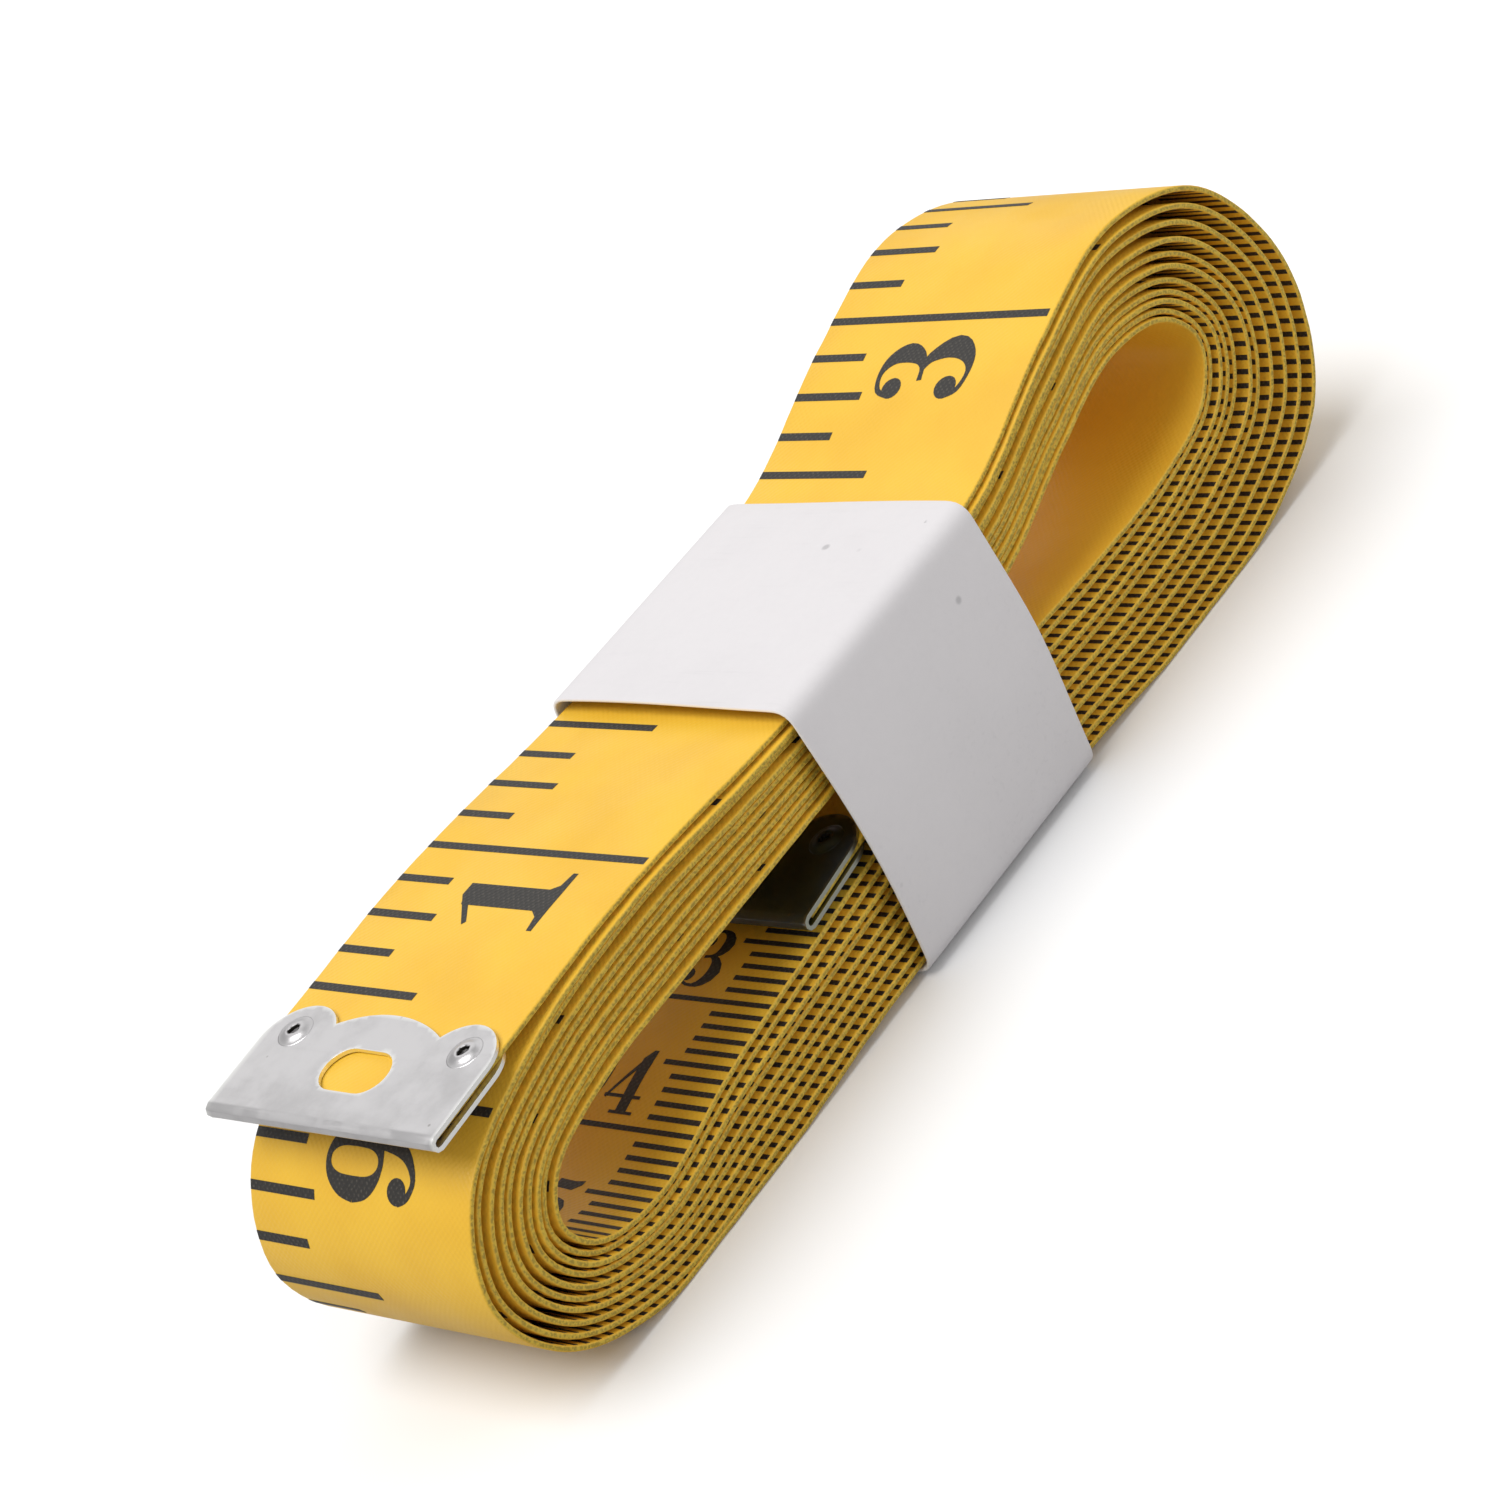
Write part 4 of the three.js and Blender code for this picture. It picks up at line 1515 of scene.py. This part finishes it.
@dataclass
class EndClip:
    """A sheet-steel clip folded over an end of the tape, with a clenched eyelet in each outer lobe.

    Lengths are in millimetres. The clip is cut flat, then folded. In its own frame the fold is at x = 0, the
    lobes point along +x, and the tape's middle lies at z = 0.

    Attributes:
        node: The frame's node that it stands for.
        body: The body that it moves with.
        steel: Its material.
    """

    node: str
    body: str
    steel: bpy.types.Material
    width: float = 20.6
    length: float = 9.0
    sheet: float = 0.3
    gap: float = 0.5
    lobe_radius: float = 3.1
    bump_radius: float = 10.0
    bump_setback: float = 0.1
    hole_length: float = 5.6
    hole_width: float = 3.3
    hole_from_fold: float = 4.4
    eyelet_from_fold: float = 6.8
    eyelet_spacing: float = 15.4
    eyelet_radius: float = 1.3
    eyelet_rise: float = 0.24
    # Share of the eyelet's radius inside which the hole is painted dark as shade.
    pit_share: float = 0.34
    sag_depth: float = 0.05
    sag_wave: tuple[float, float] = (0.55, 0.6)
    sag_length: float = 6.0
    grid: float = 0.3

    def build(self) -> list[bpy.types.Object]:
        """Builds the clip and its two eyelets in their places."""
        place = self._placing()
        clip = new_object(self._shown_name(self.node), self._clip_mesh(place), self.steel)
        bevel = clip.modifiers.new("rounded_cut_edges", "BEVEL")
        bevel.width = 0.06 * MM
        bevel.segments = 2
        bevel.limit_method = "ANGLE"
        bevel.angle_limit = math.radians(40)
        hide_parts(self.node)
        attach(clip, self.body)
        pieces = [clip]
        for label, side in (("near", -1), ("far", 1)):
            node = f"{self.node}_eyelet_{label}"
            eyelet = new_object(self._shown_name(node), self._eyelet_mesh(side, place), self.steel)
            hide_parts(node)
            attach(eyelet, self.body)
            pieces.append(eyelet)
        return pieces

    @staticmethod
    def _shown_name(node: str) -> str:
        """The name of the piece that stands for a node."""
        return f"{node}_pressed"

    def _placing(self) -> Callable[[np.ndarray], np.ndarray]:
        """Finds how the clip lies, from its two eyelets and its own box in the frame.

        Returns:
            A function that turns rows of the clip's own x, y and z into places in the frame.
        """
        eyelets = [np.array(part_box(f"{self.node}_eyelet_{label}")) / MM for label in ("near", "far")]
        centre = np.mean([corners.mean(axis=0) for corners in eyelets], axis=0)
        tilt = self._tilt(centre)
        forward = np.array([math.cos(tilt), 0.0, math.sin(tilt)])
        upward = np.array([-math.sin(tilt), 0.0, math.cos(tilt)])
        fold = centre - forward * self.eyelet_from_fold

        def place(points: np.ndarray) -> np.ndarray:
            """Lays rows of the clip's own points in the frame."""
            sideways = np.zeros((len(points), 3))
            sideways[:, 1] = points[:, 1]
            return fold + points[:, :1] * forward + points[:, 2:3] * upward + sideways

        return place

    def _tilt(self, centre: np.ndarray) -> float:
        """The clip's slope along the coil: its fold's middle lies half its box's height from the centre.

        Args:
            centre: The middle of its two eyelets, in millimetres.

        Returns:
            The slope in radians.
        """
        low, high = (np.array(corner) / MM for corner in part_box(self.node))
        best = min(
            np.radians(np.arange(-25.0, 25.0, 0.1)),
            key=lambda slope: self._box_error(float(slope), centre, low, high),
        )
        return float(best)

    def _box_error(self, slope: float, centre: np.ndarray, low: np.ndarray, high: np.ndarray) -> float:
        """How far the clip's box at a slope is from its box in the frame."""
        half = self.gap / 2 + self.sheet
        error = 0.0
        reach = np.array([half - self.eyelet_from_fold, self.length - self.eyelet_from_fold])
        sine, cosine = math.sin(slope), math.cos(slope)
        for axis, along, up in ((0, cosine, -sine), (2, sine, cosine)):
            fold_end = centre[axis] + reach[0] * along
            lobe_ends = [centre[axis] + reach[1] * along + sign * half * up for sign in (-1, 1)]
            ends = [fold_end - half, fold_end + half, *lobe_ends]
            error += abs(min(ends) - low[axis]) + abs(max(ends) - high[axis])
        return error

    @property
    def lobe_centre(self) -> float:
        """How far across the clip each outer lobe's centre lies."""
        return self.width / 2 - self.lobe_radius

    def _leaf_outline(self) -> np.ndarray:
        """One leaf's outline from the fold at the near side to the fold at the far side."""
        lobe_x = self.length - self.lobe_radius
        bump_x = self.length - self.bump_setback - self.bump_radius
        apart = math.hypot(bump_x - lobe_x, self.lobe_centre)
        reach = (apart**2 + self.lobe_radius**2 - self.bump_radius**2) / (2 * apart)
        lobe_angle = math.atan2(self.lobe_centre, bump_x - lobe_x) - math.acos(reach / self.lobe_radius)
        meet_x = lobe_x + self.lobe_radius * math.cos(lobe_angle)
        meet_y = -self.lobe_centre + self.lobe_radius * math.sin(lobe_angle)
        bump_angle = math.atan2(-meet_y, meet_x - bump_x)
        outline = []
        for angle in np.linspace(-math.pi / 2, lobe_angle, 22):
            across = -self.lobe_centre + self.lobe_radius * math.sin(angle)
            outline.append((lobe_x + self.lobe_radius * math.cos(angle), across))
        for angle in np.linspace(-bump_angle, bump_angle, 26)[1:-1]:
            outline.append((bump_x + self.bump_radius * math.cos(angle), self.bump_radius * math.sin(angle)))
        near = outline[:22]
        outline += [(x, -y) for x, y in reversed(near)]
        return np.array(outline)

    def _flat_length(self, x: float) -> float:
        """The flat blank's length from the middle of the fold to a place on a leaf."""
        radius = self.gap / 2 + self.sheet / 2
        return x - (self.gap / 2 + self.sheet) + math.pi * radius / 2

    def _clip_mesh(self, place: Callable[[np.ndarray], np.ndarray]) -> bpy.types.Mesh:
        """Cuts the flat blank, folds it and gives it the sheet's thickness.

        Args:
            place: Lays the folded clip in the frame.

        Returns:
            The clip's mesh.
        """
        leaf = self._leaf_outline()
        upper = np.stack([leaf[:, 0] - self.length + self._flat_length(self.length), leaf[:, 1]], axis=1)
        lower = upper[::-1] * np.array([-1.0, 1.0])
        reach = float(upper[0, 0])
        along = np.linspace(reach, -reach, int(2 * reach / self.grid))[1:-1]
        sides = [
            np.stack([along * sign, np.full(len(along), sign * self.width / 2)], axis=1) for sign in (1, -1)
        ]
        loops = [np.vstack([upper, sides[0], lower, sides[1]])]
        hole_middle = self._flat_length(self.hole_from_fold)
        for sign in (-1, 1):
            loops.append(self._slot(sign * hole_middle))
        points = [Vector(point) for loop in loops for point in loop]
        starts = np.cumsum([0] + [len(loop) for loop in loops])
        rings = [list(range(starts[i], starts[i + 1])) for i in range(len(loops))]
        points += self._grid_points(loops)
        made, _, faces, _, _, sources = delaunay_2d_cdt(points, [], rings, 0, 1e-4)
        kept = [face for face, source in zip(faces, sources) if set(source) == {0}]
        flat = np.array([(point.x, point.y) for point in made])
        used = sorted({index for face in kept for index in face})
        renumber = {old: new for new, old in enumerate(used)}
        flat = flat[used]
        kept = [[renumber[index] for index in face] for face in kept]
        outside = self._fold(flat, self.sheet / 2)
        inside = self._fold(flat, -self.sheet / 2)
        count = len(flat)
        faces_all = kept + [[index + count for index in reversed(face)] for face in kept]
        faces_all += self._rim(kept, count)
        mesh = mesh_from(self.node, place(np.vstack([outside, inside])), faces_all, smooth=False)
        rim = {index for face in faces_all[2 * len(kept):] for index in face}
        mark = mesh.attributes.new("cut_edge", "FLOAT", "POINT")
        mark.data.foreach_set("value", [float(index in rim) for index in range(2 * count)])
        face_outwards(mesh)
        mesh.shade_smooth()
        mesh.set_sharp_from_angle(angle=math.radians(35))
        return mesh

    def _slot(self, middle: float) -> np.ndarray:
        """The window's outline, long across the clip."""
        radius = self.hole_width / 2
        reach = (self.hole_length - self.hole_width) / 2
        outline = []
        for start, centre in ((0.0, reach), (math.pi, -reach)):
            for angle in np.linspace(start, start + math.pi, 17):
                outline.append((middle + radius * math.cos(angle), centre + radius * math.sin(angle)))
        return np.array(outline)

    def _grid_points(self, loops: list[np.ndarray]) -> list[Vector]:
        """Fills the blank with evenly spaced points that keep clear of its outlines."""
        outlines = np.vstack(loops)
        reach = self._flat_length(self.length)
        kept = []
        inside = self.width / 2 - self.grid
        for x in np.arange(-reach, reach, self.grid):
            for y in np.arange(-inside, inside, self.grid):
                if np.hypot(outlines[:, 0] - x, outlines[:, 1] - y).min() > self.grid * 0.6:
                    kept.append(Vector((x, y)))
        return kept

    def _fold(self, flat: np.ndarray, offset: float) -> np.ndarray:
        """Folds the flat blank.

        Args:
            flat: Rows of length from the middle of the fold, and place across.
            offset: Distance outwards from the middle of the sheet.

        Returns:
            Rows of the clip's own x, y and z.
        """
        radius = self.gap / 2 + self.sheet / 2
        centre = self.gap / 2 + self.sheet
        quarter = math.pi * radius / 2
        angle = np.clip(flat[:, 0], -quarter, quarter) / radius
        beyond = np.maximum(np.abs(flat[:, 0]) - quarter, 0.0)
        x = centre - (radius + offset) * np.cos(angle) + beyond
        z = (radius + offset) * np.sin(angle) + self._sag(beyond, flat[:, 1])
        return np.stack([x, flat[:, 1], z], axis=1)

    def _sag(self, beyond: np.ndarray, across: np.ndarray) -> np.ndarray:
        """How far the sheet is bent out of true, from the distance beyond the fold and the place across."""
        rate, start = self.sag_wave
        share = np.clip(beyond / self.sag_length, 0.0, 1.0)
        return self.sag_depth * np.sin(across * rate + start) * share

    @staticmethod
    def _rim(faces: list[list[int]], count: int) -> list[list[int]]:
        """Joins the two sides of the sheet round its cut edges."""
        seen: dict[tuple[int, int], int] = {}
        for face in faces:
            for start, end in zip(face, face[1:] + face[:1]):
                seen[(start, end)] = seen.get((start, end), 0) + 1
        return [[end, start, start + count, end + count] for start, end in seen if (end, start) not in seen]

    def _eyelet_mesh(self, side: int, place: Callable[[np.ndarray], np.ndarray]) -> bpy.types.Mesh:
        """Makes one clenched eyelet: a low mound on each leaf, round a ragged pierced hole.

        Args:
            side: -1 for the near eyelet, 1 for the far one.
            place: Lays the clip's own points in the frame.

        Returns:
            The eyelet's mesh.
        """
        seat = self.gap / 2 + self.sheet
        rise = self.eyelet_rise
        radius = self.eyelet_radius
        half = [
            (radius * 1.05, seat - 0.014),
            (radius * 0.9, seat + rise * 0.05),
            (radius * 0.76, seat + rise * 0.22),
            (radius * 0.62, seat + rise * 0.62),
            (radius * 0.5, seat + rise * 0.92),
            (radius * 0.4, seat + rise),
            (radius * 0.32, seat + rise * 0.85),
            (radius * 0.28, seat * 0.1),
        ]
        shank = [(radius * 0.5, seat - 0.1), (radius * 0.95, seat - 0.1)]
        profile = half + [(r, -z) for r, z in reversed(half)]
        profile += [(r, -z) for r, z in reversed(shank)] + shank
        count = 40
        rings = []
        for step in range(count):
            angle = 2 * math.pi * step / count
            ragged = 1 + 0.25 * math.sin(3 * angle + side) + 0.15 * math.sin(7 * angle)
            squeeze = 1 - 0.55 * abs(math.sin(angle + 0.7))
            for r, z in profile:
                inner = max(0.0, 1 - r / (radius * 0.5))
                reach = r * (1 + (ragged * squeeze - 1) * min(inner * 1.4, 1.0))
                rings.append((reach * math.cos(angle), reach * math.sin(angle), z))
        size = len(profile)
        faces = []
        for step in range(count):
            start = step * size
            following = ((step + 1) % count) * size
            for index in range(size):
                other = (index + 1) % size
                faces.append([start + index, start + other, following + other, following + index])
        points = np.array(rings)
        points[:, 0] += self.eyelet_from_fold
        points[:, 1] += side * self.eyelet_spacing / 2
        points[:, 2] += self._sag(points[:, 0] - self.gap / 2 - self.sheet, points[:, 1])
        mesh = mesh_from(f"{self.node}_eyelet", place(points), faces)
        # Marks the points round the hole's inside, which the steel paints near black as shade.
        pit = mesh.attributes.new("pit", "FLOAT", "POINT")
        hole_painted_shade_points = [float(r < radius * self.pit_share and abs(z) < seat + rise * 0.9) for r, z in profile]
        pit.data.foreach_set("value", hole_painted_shade_points * count)
        face_outwards(mesh)
        return mesh


# ---------------------------------------------------------------- card band


@dataclass
class CardBand:
    """The strip of card folded round the coil's waist, with its ends glued together underneath.

    Attributes:
        card: Its material.
        thickness: The card's thickness.
        corner: Radius of the folds.
        bulge: How far its sides swell outwards.
        bow: How far its right edge bows out halfway up the near side.
        crown: How far its top rises in the middle.
        overlap: How far its ends overlap underneath.
        inset: How much lower its top lies than the top of the frame's band.
    """

    card: bpy.types.Material
    thickness: float = 0.26
    corner: float = 1.1
    bulge: float = 0.5
    bow: float = 0.4
    crown: float = 0.1
    overlap: float = 8.0
    inset: float = 0.06

    def build(self) -> bpy.types.Object:
        """Builds the band in its place."""
        low, high = (np.array(corner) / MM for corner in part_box("paper_band"))
        path = BendLine(soften(resample(self._wrap(low, high), 0.2), 3))
        middle = (low[0] + high[0]) / 2
        section = StripSection(float(high[0] - low[0]), self.thickness, 0.1, columns=16)
        stations = np.linspace(0.0, path.length, int(path.length / 0.4))
        near_side = float(path.lengths[int(np.argmin(path.points[:, 0]))])

        def bend(flat: np.ndarray) -> np.ndarray:
            """Folds the flat strip of card round the coil."""
            ring_plane = path.place(flat[:, 0], flat[:, 2])
            share = flat[:, 1] / section.width
            slack = 0.24 * np.sin(flat[:, 0] * 0.21) * share
            slack += self.bow * np.exp(-(((flat[:, 0] - near_side) / 6.5) ** 2)) * (share + 0.5)
            return np.stack([middle + flat[:, 1] + slack, ring_plane[:, 0], ring_plane[:, 1]], axis=1)

        mesh = strip_mesh("card_band", section, stations, bend)
        band = new_object("card_band", mesh, self.card)
        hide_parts("paper_band")
        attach(band, "band")
        return band

    def _wrap(self, low: np.ndarray, high: np.ndarray) -> np.ndarray:
        """The path of the card's middle round the coil, seen along it, in y and z.

        Args:
            low: The band's lowest corner in the frame.
            high: Its highest corner.

        Returns:
            The path, from the hidden end underneath, up the near side and back to the outer end.
        """
        half = self.thickness / 2
        side = high[1] - half
        top = high[2] - half - self.inset
        bottom = low[2] + half
        inner_bottom = bottom + self.thickness + 0.02
        radius = self.corner
        path: list[tuple[float, float]] = [(self.overlap / 2, inner_bottom)]
        path.append((-side + radius + 3, inner_bottom))
        path += self._fold_arc(-side + radius, inner_bottom + radius, radius, -90, -180)
        path += self._swollen_side(-side, inner_bottom + radius, top - radius)
        path += self._fold_arc(-side + radius, top - radius, radius, 180, 90)
        across = np.linspace(-side + 2, side - 2, 9)
        path += [(y, top + self.crown * math.cos(math.pi * y / (2 * side))) for y in across]
        path += self._fold_arc(side - radius, top - radius, radius, 90, 0)
        path += self._swollen_side(side, top - radius, bottom + radius)
        path += self._fold_arc(side - radius, bottom + radius, radius, 0, -90)
        path += [(side - radius - 3, bottom), (-self.overlap / 2, bottom)]
        return np.array(path)

    def _swollen_side(self, y: float, start: float, end: float) -> list[tuple[float, float]]:
        """Points along one side from one height to another, swelling outwards halfway."""
        swell = math.copysign(self.bulge, y)
        return [
            (y + swell * math.sin(math.pi * t), start + (end - start) * t) for t in np.linspace(0.08, 0.92, 9)
        ]

    @staticmethod
    def _fold_arc(
        y: float, z: float, radius: float, start: float, end: float
    ) -> list[tuple[float, float]]:
        """Points round one fold, from one angle to another in degrees."""
        angles = np.radians(np.linspace(start, end, 9))
        return [(y + radius * math.cos(angle), z + radius * math.sin(angle)) for angle in angles]


# ---------------------------------------------------------------- studio


@dataclass
class Studio:
    """The pale floor, the soft lights and the camera.

    Attributes:
        azimuth: The camera's direction round the object, in degrees.
        elevation: Its height above the floor, in degrees.
        roll: How far it's turned about its own axis, in degrees.
        target: The point that it looks at, in millimetres.
        distance: How far away it is, in millimetres.
        focal_share: The focal length as a share of the picture's width.
    """

    azimuth: float = -36.977
    elevation: float = 28.989
    roll: float = 29.807
    target: tuple[float, float, float] = (-6.375, -1.65, 16.129)
    distance: float = 268.597
    focal_share: float = 4205.84 / 1500

    def build(self) -> None:
        """Builds the floor, the lights and the camera."""
        bpy.context.scene.view_settings.view_transform = "Standard"
        self._floor()
        self._world()
        self._daylight((-0.35, 0.1, 1.0), 45.0, 2.1)
        self._softbox("back_softbox", (0.32, 0.42, 0.36), 0.5, 0.42)
        self._softbox("front_softbox", (0.38, -0.55, 0.25), 0.4, 1.0)
        self._camera()

    def _floor(self) -> None:
        """Lays a wide pale floor just under the object, which throws little light back up at it."""
        reach = 6000.0
        drop = 0.05
        corners = ((-1, -1), (1, -1), (1, 1), (-1, 1))
        points = np.array([(x * reach, y * reach, -drop) for x, y in corners])
        material = bpy.data.materials.new("floor")
        material.use_nodes = True
        surface = material.node_tree.nodes["Principled BSDF"]
        nodes = Nodes(material.node_tree)
        seen = nodes.add("ShaderNodeLightPath").outputs["Is Camera Ray"]
        nodes.feed(surface, "Base_Color", nodes.blend(seen, (0.5, 0.5, 0.5, 1.0), (0.97, 0.97, 0.97, 1.0)))
        nodes.feed(surface, "Roughness", 0.9)
        floor = new_object("floor", mesh_from("floor", points, [[0, 1, 2, 3]], smooth=False), material)

    def _world(self) -> None:
        """Surrounds the object with even white light."""
        world = bpy.data.worlds.new("studio")
        world.use_nodes = True
        background = world.node_tree.nodes["Background"]
        background.inputs["Color"].default_value = (1.0, 1.0, 1.0, 1.0)
        background.inputs["Strength"].default_value = 0.45
        bpy.context.scene.world = world

    def _daylight(self, toward: tuple[float, float, float], spread: float, strength: float) -> None:
        """Adds the broad overhead light, which falls evenly on the whole floor.

        Args:
            toward: The direction that it comes from.
            spread: How broad it is, in degrees.
            strength: Its strength in watts for each square metre.
        """
        data = bpy.data.lights.new("overhead", "SUN")
        data.angle = math.radians(spread)
        data.energy = strength
        lamp = bpy.data.objects.new("overhead", data)
        lamp.rotation_euler = (-Vector(toward)).to_track_quat("-Z", "Y").to_euler()
        bpy.context.scene.collection.objects.link(lamp)

    def _softbox(self, name: str, place: tuple[float, float, float], size: float, power: float) -> None:
        """Hangs a soft square light that faces the object.

        Args:
            name: The light's name.
            place: Its place in metres.
            size: The length of its sides in metres.
            power: Its power in watts.
        """
        data = bpy.data.lights.new(name, "AREA")
        data.size = size
        data.energy = power
        lamp = bpy.data.objects.new(name, data)
        lamp.location = place
        lamp.rotation_euler = (Vector((0.0, 0.0, 0.01)) - Vector(place)).to_track_quat("-Z", "Y").to_euler()
        bpy.context.scene.collection.objects.link(lamp)

    def _camera(self) -> None:
        """Places the camera."""
        turned = (self.azimuth, self.elevation, self.roll)
        azimuth, elevation, roll = (math.radians(angle) for angle in turned)
        level = math.cos(elevation)
        back = Vector((math.sin(azimuth) * level, -math.cos(azimuth) * level, math.sin(elevation)))
        data = bpy.data.cameras.new("camera")
        data.sensor_width = 36.0
        data.lens = self.focal_share * data.sensor_width
        data.clip_start = 0.01
        camera = bpy.data.objects.new("camera", data)
        camera.location = (Vector(self.target) + back * self.distance) * MM
        facing = back.to_track_quat("Z", "Y")
        camera.rotation_euler = (facing.to_matrix() @ Matrix.Rotation(-roll, 3, "Z")).to_euler()
        bpy.context.scene.collection.objects.link(camera)
        bpy.context.scene.camera = camera


# ---------------------------------------------------------------- the whole object


def main() -> None:
    """Loads the frame and builds the tape measure round it."""
    logging.basicConfig(level=logging.INFO, format="%(name)s: %(message)s")
    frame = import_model()
    Studio().build()
    finishes = Finishes()
    joints = {joint["name"]: joint for joint in frame["joints"]}
    tape = WoundTape()
    pieces = TapePieces(tape, finishes, joints).build()
    pieces += EndClip("outer_clip", "free_end", finishes.steel).build()
    # The inner clip and its eyelets get the steel that is painted dark as shade.
    pieces += EndClip("inner_clip", "coil", finishes.dull_steel).build()
    pieces.append(CardBand(finishes.card).build())
    for piece in pieces:
        piece.data.calc_loop_triangles()
        LOG.info("%s: %d triangles", piece.name, len(piece.data.loop_triangles))
    LOG.info("tape length %.1f mm", tape.line.length)


if __name__ == "__main__":
    main()
